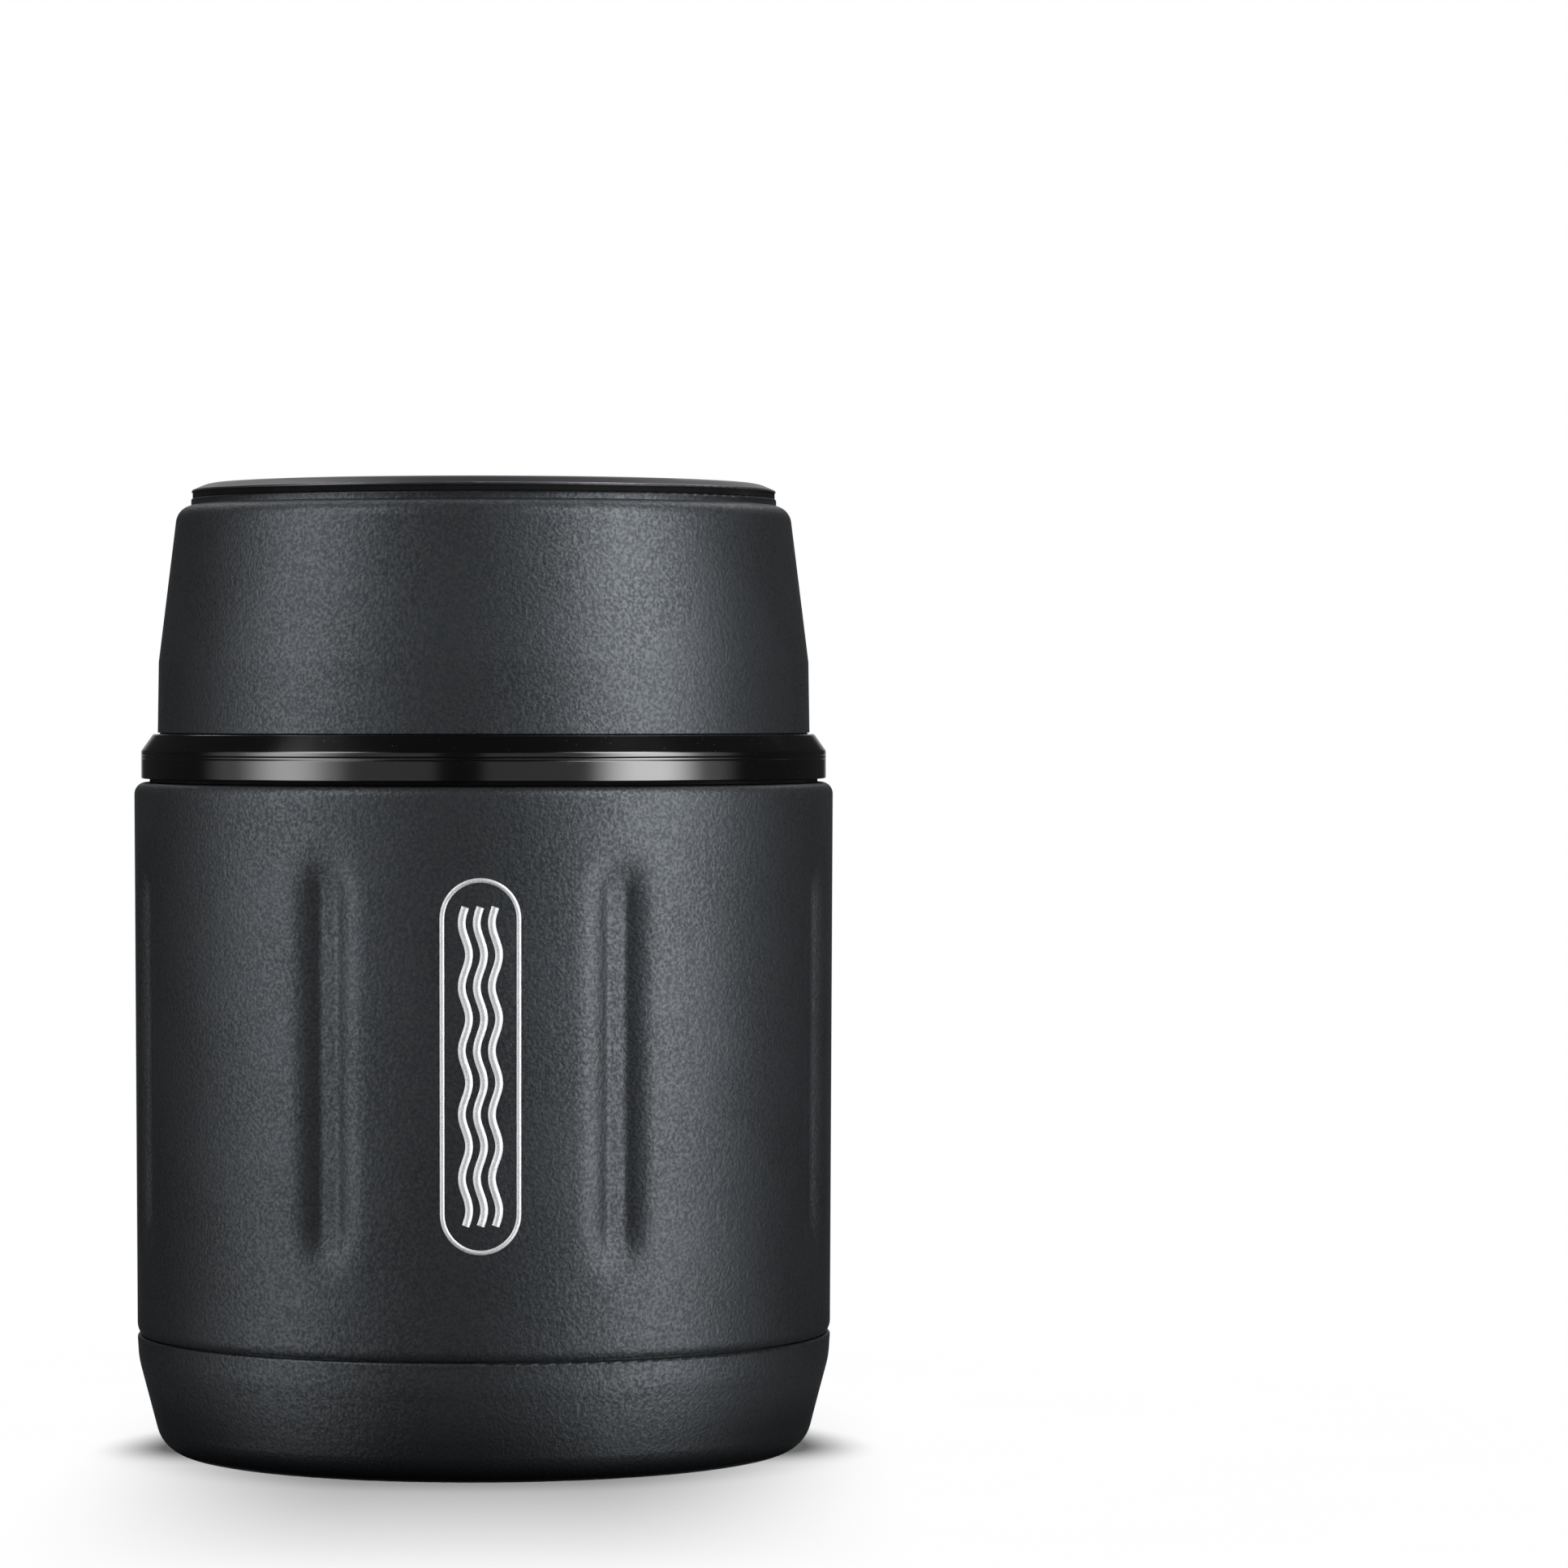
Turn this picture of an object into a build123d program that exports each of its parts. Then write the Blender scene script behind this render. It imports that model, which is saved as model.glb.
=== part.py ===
from build123d import *
import os
from math import atan2, cos, hypot, radians, tan

# Insulated food jar with a screw-on cup lid and a threaded stopper with a push-button vent.
# Millimetres, +Z up. The origin is the centre of the foot, on the surface the jar stands on.
# The front is -Y, midway between two flutes. Every screw thread is right-handed: turning a
# part counter-clockwise, seen from above, lifts it.

os.makedirs("parts", exist_ok=True)


# ---- Sheet metal and clearances ----

shell_wall = 0.6  # outer shell, base cup and cap shell
vessel_wall = 0.5
lap_clearance = 0.1  # base cup's lap inside the outer shell, and the disc's skirt in the cap
weld_groove = 0.2  # visible groove where the outer shell meets the base cup
collar_clearance = 0.1  # collar's sleeve on the steel neck
cap_gap = 0.2  # cap's mouth above the collar's shoulder
liner_clearance = 0.15  # cap liner inside the cap shell
thread_clearance = 0.3  # a thread's crest to the wall that it faces
seat_clearance = 0.2  # stopper over the lip, and its gasket off the seat
core_clearance = 0.2  # insulation that slides past a part that turns
slip_clearance = 0.1  # vent parts that slide

# ---- Edge roundings used in several places ----

hair_round = 0.1
fine_round = 0.2
edge_round = 0.4
soft_round = 1.0

# ---- Foot ----

foot_inset = 3.8  # foot's corner inside the seam's radius
foot_round = 5.0
foot_ring_width = 6.6  # from that corner to the recess
foot_recess = 2.2
recess_slope = 1.1
recess_round = 0.8
bend_inset = 0.2  # top of the taper inside the seam's radius
bend_height = 13.7
bend_rise = 3.5  # from the bend to the seam
bend_round = 12.0
lap_height = 4.4
seam_tuck = 0.45  # outer shell's lower edge rolls in by this much
seam_tuck_height = 1.0
seam_tuck_round = 2.5

port_radius = 1.6
port_dimple_radius = 10.0
port_dimple_depth = 1.2
port_plug_head_radius = 4.0
port_plug_head = 0.8
base_cover_radius = 14.0
base_cover_thickness = 0.5
getter_radius = 4.0
getter_thickness = 1.5
getter_offset = 25.0
getter_chamfer = 0.3

# ---- Body ----

body_radius = 50.0  # at the shoulder
body_taper = 0.4  # smaller radius at the seam
body_height = 78.4  # from the seam to the shoulder
shoulder_round = 1.7
neck_height = 20.9  # from the shoulder to the top of the lip

flute_count = 8
flute_front_count = 4  # spaced evenly about the front; the rest share what is left
flute_front_pitch = 48.0  # degrees
flute_top_margin = 11.55  # below the shoulder
flute_bottom_margin = 14.35  # above the seam
flute_width = 7.5  # between the corners of its walls, before they are rounded
flute_floor_width = 2.8
flute_depth = 1.3
flute_edge_round = 8.0

# ---- Inner vessel and neck ----

vacuum_gap = 2.7  # flute's floor to the inner vessel
floor_gap = 2.0  # port's dimple to the vessel's floor
neck_gap = 0.5  # between the two necks
vessel_floor_round = 8.0
vessel_shoulder_round = 4.0
throat_fillet = 2.0
lip_overhang = 0.7  # past the outer shell's neck
mouth_depth = 14.1  # from the lip to the top of the seat
seat_width = 2.9  # of the 45 degree seat, across and up
throat_length = 4.0
vessel_shoulder_drop = 5.0
foil_gap = 0.1
foil_thickness = 0.15
foil_margin = 2.5  # below the vessel's shoulder

# ---- Collar ----

collar_inset = 1.0  # inside the body's radius
collar_side_height = 3.95
collar_chamfer_width = 1.7
collar_chamfer_height = 2.4
collar_plate = 1.8
collar_skirt_width = 1.6
collar_sleeve_wall = 1.5
collar_sleeve_drop = 4.75  # sleeve's lower end below the collar's top
collar_rib_count = 24
collar_rib_width = 1.0
gasket_thickness = 0.8
gasket_inset = 1.2
gasket_width = 2.2

# ---- Cap ----

cap_mouth_inset = 0.65  # inside the top of the collar's chamfer
cap_mouth_rise = 10.05
cap_mouth_taper = 0.15
cap_side_rise = 21.95
cap_side_taper = 2.7
cap_bend_round = 4.0
cap_shoulder_round = 2.6
cap_shoulder_width = 1.93
cap_shoulder_rise = 0.4
cap_rim_rise = 1.05
cap_rim_round = 0.4
cap_rim_width = 5.87

disc_inset = 0.07  # inside the cap's rim
disc_gap = 0.85  # shadow gap under the disc's edge
disc_edge = 0.25  # height of the disc's edge above that gap
disc_edge_round = 0.3
disc_rise = 1.0  # from that edge to the flat top
disc_slope_width = 2.3
disc_slope_round = 4.0
disc_foot_inset = 0.8
disc_thickness = 1.6
disc_skirt_wall = 1.4
disc_skirt_depth = 1.9
disc_catch = 0.4

liner_wall = 1.5
liner_ceiling = 1.6
liner_straight_rise = 1.0  # past the cap's bend
liner_round = 1.5
cap_foam_inset = 0.47
cap_foam_thickness = 3.9

# ---- Threads ----

cap_thread_starts = 3
cap_thread_lead = 12.0
cap_thread_rise = 6.6
liner_thread_rise = 3.96
cap_thread_offset = 2.85  # above the collar's top
cap_crest_height = 1.0
stopper_thread_starts = 2
stopper_thread_lead = 8.0
stopper_thread_rise = 6.0
vessel_thread_rise = 4.2
stopper_thread_offset = 3.4  # above the seat
stopper_crest_height = 0.8
stopper_crest_gap = 0.4
vessel_crest_height = 0.7
ridge_root = 2.0
ridge_crest = 1.0
ridge_bite = 0.3  # how far a ridge reaches into the wall that it stands on

# ---- Stopper ----

stopper_drop = 3.5  # stopper's bottom below the seat
stopper_wall = 1.6
throat_clearance = 0.6
groove_depth = 1.5
groove_drop = 0.9  # groove's bottom below the seat
groove_clearance = 0.1
gasket_setback = 0.15
shelf_rise = 1.8  # above the groove
cover_seal_thickness = 0.3

cover_overhang = 0.1  # past the lip
cover_flange = 2.5
cover_flange_chamfer = 0.8
grip_inset = 11.3
grip_rise = 3.0
grip_round = 1.2
grip_count = 16
grip_scallop_radius = 3.2
grip_scallop_depth = 1.3
cover_wall = 1.8
cover_skirt_wall = 1.6
cover_skirt_depth = 3.2
well_depth = 8.8
well_wall = 1.5
well_floor = 1.4
foam_round = 1.2

# ---- Vent ----

vent_travel = 2.5
button_radius = 9.0
button_gap = 0.3
button_proud = 0.4
button_top = 1.4
button_wall = 1.2
button_skirt = 3.6
button_round = 0.8
socket_wall = 1.3
socket_gap = 0.3  # left under the button's socket when it is pressed
button_ring_section = 0.5
button_ring_drop = 2.4
stem_radius = 1.6
stem_groove_depth = 0.4
stem_tail = 0.6
stem_hole_gap = 0.6
boss_radius = 4.1
boss_wall = 1.5
guide_height = 6.0
vent_hole_gap = 1.0
air_groove_count = 3
air_groove_radius = 0.9
seal_radius = 5.5
seal_thickness = 1.4
clip_radius = 3.6
clip_thickness = 0.6
clip_slot = 2.0
spring_radius = 5.0
spring_wire = 0.7
spring_turns = 4.0


# ---- Radii, from the outside in ----

seam_radius = body_radius - body_taper
foot_radius = seam_radius - foot_inset
foot_inner_radius = foot_radius - foot_ring_width
bend_radius = seam_radius - bend_inset
lap_radius = seam_radius - seam_tuck - shell_wall - lap_clearance
vessel_radius = seam_radius - flute_depth - shell_wall - vacuum_gap - vessel_wall

collar_radius = body_radius - collar_inset
collar_top_radius = collar_radius - collar_chamfer_width
gasket_radius = collar_radius - gasket_inset
cap_mouth_radius = collar_top_radius - cap_mouth_inset
cap_bend_radius = cap_mouth_radius - cap_mouth_taper
cap_shoulder_radius = cap_bend_radius - cap_side_taper
cap_rim_radius = cap_shoulder_radius - cap_shoulder_width
cap_opening_radius = cap_rim_radius - cap_rim_width
disc_radius = cap_rim_radius - disc_inset

liner_inset = shell_wall + liner_clearance
liner_bore = cap_mouth_radius - liner_inset - liner_wall
collar_sleeve_radius = liner_bore - thread_clearance - cap_crest_height
collar_bore = collar_sleeve_radius - collar_sleeve_wall
neck_radius = collar_bore - collar_clearance
mouth_radius = neck_radius - shell_wall - neck_gap - vessel_wall
lip_radius = neck_radius + lip_overhang
throat_radius = mouth_radius - seat_width

vessel_crest_radius = mouth_radius - vessel_crest_height
stopper_crest_radius = mouth_radius - stopper_crest_gap
stopper_radius = stopper_crest_radius - stopper_crest_height
throat_bore = throat_radius - throat_clearance
groove_radius = throat_bore - groove_depth
cover_radius = lip_radius + cover_overhang
grip_radius = cover_radius - grip_inset
well_radius = button_radius + button_gap
stem_groove_radius = stem_radius - stem_groove_depth
stem_hole_radius = stem_radius + stem_hole_gap
vent_hole_radius = stem_radius + vent_hole_gap

# ---- Heights, from the ground up ----

seam_height = bend_height + bend_rise
shoulder_height = seam_height + body_height
flute_length = body_height - flute_top_margin - flute_bottom_margin
flute_centre_height = seam_height + flute_bottom_margin + flute_length / 2

vessel_floor_height = foot_recess + port_dimple_depth + shell_wall + floor_gap + vessel_wall
lip_height = shoulder_height + neck_height
lip_underside = lip_height - vessel_wall
seat_top_height = lip_height - mouth_depth
seat_height = seat_top_height - seat_width
throat_height = seat_height - throat_length
vessel_shoulder_height = throat_height - vessel_shoulder_drop
foil_bottom_height = vessel_floor_height + vessel_floor_round
foil_top_height = vessel_shoulder_height - foil_margin

collar_bottom_height = shoulder_height + gasket_thickness
collar_edge_height = collar_bottom_height + collar_side_height
collar_top_height = collar_edge_height + collar_chamfer_height
collar_sleeve_start = collar_top_height - collar_sleeve_drop
cap_mouth_height = collar_top_height + cap_gap
cap_bend_height = cap_mouth_height + cap_mouth_rise
cap_shoulder_height = cap_bend_height + cap_side_rise
cap_rim_height = cap_shoulder_height + cap_shoulder_rise + cap_rim_rise
disc_underside = cap_rim_height + disc_gap
disc_edge_height = disc_underside + disc_edge
cap_top_height = disc_edge_height + disc_rise

plate_underside = cap_rim_height - shell_wall
skirt_end = cap_rim_height - disc_skirt_depth
cap_foam_bottom = skirt_end - core_clearance - cap_foam_thickness
ceiling_top = cap_foam_bottom - core_clearance
liner_ceiling_height = ceiling_top - liner_ceiling
liner_straight_height = cap_bend_height + liner_straight_rise

cap_thread_bottom = collar_top_height + cap_thread_offset
stopper_thread_bottom = seat_top_height + stopper_thread_offset
cap_half_pitch = cap_thread_lead / cap_thread_starts / 2
stopper_half_pitch = stopper_thread_lead / stopper_thread_starts / 2

stopper_bottom_height = seat_height - stopper_drop
groove_bottom_height = seat_height - groove_drop
shelf_height = seat_top_height + shelf_rise
flange_underside = lip_height + seat_clearance
body_top = flange_underside - cover_seal_thickness
cover_flange_height = flange_underside + cover_flange
cover_plate_underside = cover_flange_height - cover_wall
grip_height = cover_flange_height + grip_rise
spring_seat = grip_height - well_depth
well_floor_height = spring_seat - well_floor
boss_top = well_floor_height - slip_clearance

button_top_height = grip_height + button_proud
button_ceiling = button_top_height - button_top
button_skirt_end = button_top_height - button_skirt
socket_end = spring_seat + vent_travel + socket_gap
seal_bottom = stopper_bottom_height - seal_thickness
clip_bottom = seal_bottom - clip_thickness


# ---- Outline of a wall of even thickness ----


def wall_outline(path, rounds, thickness):
    """Closed outline of a wall that has path as one face and lies to the left of it.

    rounds holds the radius on the path's own face at each inner corner. Returns the
    corners and the rounding radius at each, for FilletPolyline.
    """
    headings = []
    for (r0, z0), (r1, z1) in zip(path, path[1:]):
        length = hypot(r1 - r0, z1 - z0)
        headings.append(((r1 - r0) / length, (z1 - z0) / length))
    far_side = [(path[0][0] - thickness * headings[0][1], path[0][1] + thickness * headings[0][0])]
    far_rounds = []
    for (r, z), (u0, v0), (u1, v1), radius in zip(path[1:], headings, headings[1:], rounds):
        turn = atan2(u0 * v1 - v0 * u1, u0 * u1 + v0 * v1)
        slide = thickness * tan(turn / 2)
        far_side.append((r - thickness * v0 - slide * u0, z + thickness * u0 - slide * v0))
        left_turn = turn > 0
        far_rounds.append(0 if radius == 0 else max(radius - thickness if left_turn else radius + thickness, hair_round))
    last_u, last_v = headings[-1]
    far_side.append((path[-1][0] - thickness * last_v, path[-1][1] + thickness * last_u))
    corners = path + far_side[::-1]
    return corners, [0, *rounds, 0, 0, *far_rounds[::-1], 0]


# ---- Thread ridges ----


def ridge_section(wall_radius, crest_radius):
    """Section of a ridge on a wall, its crest at crest_radius, centred on z = 0."""
    bite = ridge_bite if crest_radius < wall_radius else -ridge_bite
    with BuildLine() as section:
        Polyline(
            (wall_radius + bite, -ridge_root / 2),
            (wall_radius + bite, ridge_root / 2),
            (crest_radius, ridge_crest / 2),
            (crest_radius, -ridge_crest / 2),
            close=True,
        )
    return section.line


def thread_ridge(wall_radius, crest_radius, lead, bottom, rise):
    """One helical ridge that starts at the front half's +X side and climbs by rise."""
    with BuildPart() as ridge:
        with BuildLine() as helix:
            Helix(pitch=lead, height=rise, radius=wall_radius, center=(0, 0, bottom))
        with BuildSketch(Plane.XZ):
            with Locations((0, bottom)):
                add(ridge_section(wall_radius, crest_radius))
            make_face()
        sweep(path=helix.line, is_frenet=True)
    return ridge.part


# ---- Outer shell, with its pressed flutes ----


def flute_tool(grow):
    """Solid that presses one flute at +X; grow moves its whole face into the metal."""
    wall_run = (flute_width - flute_floor_width) / 2
    slope = hypot(wall_run, flute_depth) / flute_depth
    floor = body_radius - flute_depth - body_taper / 2 - grow
    floor_grow = grow * (slope - wall_run / flute_depth)
    mouth = body_radius + flute_depth
    mouth_run = floor_grow + (mouth - floor) * wall_run / flute_depth
    centre = (0, flute_centre_height)
    straight = flute_length - flute_width
    floor_width = flute_floor_width + 2 * floor_grow
    mouth_width = flute_floor_width + 2 * mouth_run
    with BuildPart() as tool:
        with BuildSketch(Plane.YZ.offset(floor)):
            with Locations(centre):
                SlotOverall(straight + floor_width, floor_width, rotation=90)
        with BuildSketch(Plane.YZ.offset(mouth)):
            with Locations(centre):
                SlotOverall(straight + mouth_width, mouth_width, rotation=90)
        loft()
    return tool.part


def flute_turns():
    """Angle of each flute from +X; the front, at -90, is midway between two of them."""
    back_pitch = (360 - (flute_front_count - 1) * flute_front_pitch) / (flute_count - flute_front_count + 1)
    first = -90 - flute_front_pitch * (flute_front_count - 1) / 2
    front = [first + flute_front_pitch * i for i in range(flute_front_count)]
    return front + [front[-1] + back_pitch * (i + 1) for i in range(flute_count - flute_front_count)]


def press_flutes(grow):
    """Press the flutes into the body that is being built and round their edges."""
    tool = flute_tool(grow)
    for turn in flute_turns():
        add(tool.rotate(Axis.Z, turn), mode=Mode.SUBTRACT)
    side = faces().filter_by(GeomType.CONE).sort_by(SortBy.AREA)[-1]
    fillet([edge for wire in side.inner_wires() for edge in wire.edges()], radius=flute_edge_round - grow)


shell_path = [
    (seam_radius - seam_tuck, seam_height + weld_groove / 2),
    (seam_radius, seam_height + seam_tuck_height),
    (body_radius, shoulder_height),
    (neck_radius, shoulder_height),
    (neck_radius, lip_underside),
]
shell_rounds = [seam_tuck_round, shoulder_round, soft_round]
shell_outline, shell_outline_rounds = wall_outline(shell_path, shell_rounds, shell_wall)
half_shell = len(shell_path)

with BuildPart() as shell_inside:
    with BuildSketch(Plane.XZ):
        with BuildLine():
            FilletPolyline(
                *shell_outline[half_shell:],
                (shell_outline[-1][0], seam_height - shell_wall),
                (0, seam_height - shell_wall),
                (0, lip_underside),
                radius=shell_outline_rounds[half_shell:] + [0, 0, 0],
                close=True,
            )
        make_face()
    revolve(axis=Axis.Z)
    press_flutes(shell_wall)

with BuildPart() as outer_shell:
    with BuildSketch(Plane.XZ):
        with BuildLine():
            FilletPolyline(
                *shell_path,
                (0, lip_underside),
                (0, shell_path[0][1]),
                radius=shell_outline_rounds[:half_shell] + [0, 0],
                close=True,
            )
        make_face()
    revolve(axis=Axis.Z)
    press_flutes(0)
    add(shell_inside.part, mode=Mode.SUBTRACT)
outer_shell.part.label = "outer_shell"


# ---- Base cup: foot ring, recess, taper and the lap inside the outer shell ----

cup_path = [
    (port_radius, foot_recess + port_dimple_depth),
    (port_dimple_radius, foot_recess + port_dimple_depth),
    (port_dimple_radius + port_dimple_depth, foot_recess),
    (foot_inner_radius - recess_slope, foot_recess),
    (foot_inner_radius, 0),
    (foot_radius, 0),
    (bend_radius, bend_height),
    (seam_radius, seam_height - weld_groove / 2),
    (lap_radius, seam_height - weld_groove / 2),
    (lap_radius, seam_height + lap_height),
]
cup_rounds = [edge_round, edge_round, recess_round, recess_round, foot_round, bend_round, edge_round, 0]
cup_outline, cup_outline_rounds = wall_outline(cup_path, cup_rounds, shell_wall)

with BuildPart() as base_cup:
    with BuildSketch(Plane.XZ):
        with BuildLine():
            FilletPolyline(*cup_outline, radius=cup_outline_rounds, close=True)
        make_face()
    revolve(axis=Axis.Z)
base_cup.part.label = "base_cup"

with BuildPart() as base_cover:
    with BuildSketch(Plane.XY.offset(foot_recess)):
        Circle(base_cover_radius)
    extrude(amount=-base_cover_thickness)
    fillet(faces().sort_by(Axis.Z)[0].edges(), radius=base_cover_thickness / 2)
base_cover.part.label = "base_cover"

with BuildPart() as vacuum_plug:
    with BuildSketch(Plane.XY.offset(foot_recess + port_dimple_depth)):
        Circle(port_plug_head_radius)
    extrude(amount=-port_plug_head)
    with BuildSketch(Plane.XY.offset(foot_recess + port_dimple_depth)):
        Circle(port_radius - lap_clearance)
    extrude(amount=shell_wall)
vacuum_plug.part.label = "vacuum_plug"

with BuildPart() as getter:
    with BuildSketch(Plane.XY.offset(foot_recess + shell_wall)):
        with Locations((getter_offset, 0)):
            Circle(getter_radius)
    extrude(amount=getter_thickness)
    chamfer(faces().sort_by(Axis.Z)[-1].edges(), length=getter_chamfer)
getter.part.label = "getter"


# ---- Inner vessel, with the seat, the inner thread and the rolled lip ----

vessel_path = [
    (lip_radius, lip_height),
    (mouth_radius, lip_height),
    (mouth_radius, seat_top_height),
    (throat_radius, seat_height),
    (throat_radius, throat_height),
    (vessel_radius, vessel_shoulder_height),
    (vessel_radius, vessel_floor_height),
    (0, vessel_floor_height),
]
vessel_rounds = [
    edge_round, soft_round, soft_round, throat_fillet, vessel_shoulder_round, vessel_floor_round,
]
vessel_outline, vessel_outline_rounds = wall_outline(vessel_path, vessel_rounds, vessel_wall)
vessel_ridge = thread_ridge(
    mouth_radius,
    vessel_crest_radius,
    stopper_thread_lead,
    stopper_thread_bottom + stopper_half_pitch,
    vessel_thread_rise,
)

with BuildPart() as inner_vessel:
    with BuildSketch(Plane.XZ):
        with BuildLine():
            FilletPolyline(*vessel_outline, radius=vessel_outline_rounds, close=True)
        make_face()
    revolve(axis=Axis.Z)
    with PolarLocations(0, stopper_thread_starts):
        add(vessel_ridge)
inner_vessel.part.label = "inner_vessel"

foil_radius = vessel_radius + vessel_wall + foil_gap
with BuildPart() as radiation_foil:
    with BuildSketch(Plane.XY.offset(foil_bottom_height)):
        Circle(foil_radius + foil_thickness)
        Circle(foil_radius, mode=Mode.SUBTRACT)
    extrude(amount=foil_top_height - foil_bottom_height)
radiation_foil.part.label = "radiation_foil"


# ---- Collar and its gasket ----

with BuildPart() as collar_gasket:
    with BuildSketch(Plane.XY.offset(shoulder_height)):
        Circle(gasket_radius)
        Circle(gasket_radius - gasket_width, mode=Mode.SUBTRACT)
    extrude(amount=gasket_thickness)
collar_gasket.part.label = "collar_gasket"

skirt_inner_radius = collar_radius - collar_skirt_width
plate_underside_height = collar_top_height - collar_plate
collar_ridge = thread_ridge(
    collar_sleeve_radius,
    collar_sleeve_radius + cap_crest_height,
    cap_thread_lead,
    cap_thread_bottom,
    cap_thread_rise,
)

with BuildPart() as neck_collar:
    with BuildSketch(Plane.XZ):
        with BuildLine():
            FilletPolyline(
                (collar_radius, collar_bottom_height),
                (collar_radius, collar_edge_height),
                (collar_top_radius, collar_top_height),
                (collar_sleeve_radius, collar_top_height),
                (collar_sleeve_radius, lip_underside - slip_clearance),
                (collar_bore, lip_underside - slip_clearance),
                (collar_bore, collar_sleeve_start),
                (collar_sleeve_radius, collar_sleeve_start),
                (collar_sleeve_radius, plate_underside_height),
                (skirt_inner_radius, plate_underside_height),
                (skirt_inner_radius, collar_bottom_height),
                radius=[fine_round, edge_round, edge_round, edge_round, fine_round, 0, 0, 0, 0, 0, 0],
                close=True,
            )
        make_face()
    revolve(axis=Axis.Z)
    with BuildSketch(Plane.XY.offset(collar_sleeve_start)):
        with PolarLocations((collar_sleeve_radius + skirt_inner_radius) / 2, collar_rib_count):
            Rectangle(skirt_inner_radius - collar_sleeve_radius + collar_skirt_width, collar_rib_width)
    extrude(amount=plate_underside_height - collar_sleeve_start)
    with PolarLocations(0, cap_thread_starts):
        add(collar_ridge)
neck_collar.part.label = "neck_collar"


# ---- Cap: steel shell, plastic liner, insulation and top disc ----

cap_path = [
    (cap_mouth_radius, cap_mouth_height),
    (cap_bend_radius, cap_bend_height),
    (cap_shoulder_radius, cap_shoulder_height),
    (cap_rim_radius, cap_shoulder_height + cap_shoulder_rise),
    (cap_rim_radius, cap_rim_height),
    (cap_opening_radius, cap_rim_height),
]
cap_rounds = [cap_bend_round, cap_shoulder_round, hair_round, cap_rim_round]
cap_outline, cap_outline_rounds = wall_outline(cap_path, cap_rounds, shell_wall)

with BuildPart() as cap_shell:
    with BuildSketch(Plane.XZ):
        with BuildLine():
            FilletPolyline(*cap_outline, radius=cap_outline_rounds, close=True)
        make_face()
    revolve(axis=Axis.Z)
cap_shell.part.label = "cap_shell"

catch_radius = cap_opening_radius + disc_catch
skirt_radius = cap_opening_radius - lap_clearance
disc_foot_radius = disc_radius - disc_foot_inset
catch_top = plate_underside - slip_clearance
with BuildPart() as cap_top_disc:
    with BuildSketch(Plane.XZ):
        with BuildLine():
            FilletPolyline(
                (0, cap_top_height),
                (disc_radius - disc_slope_width, cap_top_height),
                (disc_radius, disc_edge_height),
                (disc_radius, disc_underside),
                (disc_foot_radius, disc_underside),
                (disc_foot_radius, cap_rim_height),
                (skirt_radius, cap_rim_height),
                (skirt_radius, catch_top),
                (catch_radius, catch_top),
                (catch_radius, catch_top - disc_catch),
                (skirt_radius, skirt_end),
                (skirt_radius - disc_skirt_wall, skirt_end),
                (skirt_radius - disc_skirt_wall, cap_top_height - disc_thickness),
                (0, cap_top_height - disc_thickness),
                radius=[0, disc_slope_round, disc_edge_round, 0, 0, 0, 0, 0, 0, 0, 0, 0, 0, 0],
                close=True,
            )
        make_face()
    revolve(axis=Axis.Z)
cap_top_disc.part.label = "cap_top_disc"

cap_slope = (cap_bend_radius - cap_shoulder_radius) / (cap_shoulder_height - cap_bend_height)
liner_shoulder_radius = cap_bend_radius - liner_inset - cap_slope * (ceiling_top - cap_bend_height)
liner_ceiling_radius = liner_shoulder_radius - liner_wall
liner_ridge = thread_ridge(
    liner_bore,
    liner_bore - cap_crest_height,
    cap_thread_lead,
    cap_thread_bottom + cap_half_pitch,
    liner_thread_rise,
)

with BuildPart() as cap_liner:
    with BuildSketch(Plane.XZ):
        with BuildLine():
            FilletPolyline(
                (0, ceiling_top),
                (0, liner_ceiling_height),
                (liner_ceiling_radius, liner_ceiling_height),
                (liner_bore, liner_straight_height),
                (liner_bore, cap_mouth_height + slip_clearance),
                (cap_mouth_radius - liner_inset, cap_mouth_height + slip_clearance),
                (cap_bend_radius - liner_inset, cap_bend_height),
                (liner_shoulder_radius, ceiling_top),
                radius=[0, 0, liner_round, liner_round, fine_round, fine_round, 0, liner_round],
                close=True,
            )
        make_face()
    revolve(axis=Axis.Z)
    with PolarLocations(0, cap_thread_starts):
        add(liner_ridge)
cap_liner.part.label = "cap_liner"

with BuildPart() as cap_foam:
    with BuildSketch(Plane.XY.offset(cap_foam_bottom)):
        Circle(cap_rim_radius - shell_wall - cap_foam_inset)
    extrude(amount=cap_foam_thickness)
    fillet(edges(), radius=edge_round)
cap_foam.part.label = "cap_foam"


# ---- Stopper: threaded body, cover with grip and well, insulation and seals ----

groove_seat = groove_bottom_height + groove_clearance
groove_roof = seat_top_height - slip_clearance / 2
body_inner_radius = stopper_radius - stopper_wall
stopper_ridge = thread_ridge(
    stopper_radius,
    stopper_crest_radius,
    stopper_thread_lead,
    stopper_thread_bottom,
    stopper_thread_rise,
)

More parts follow.
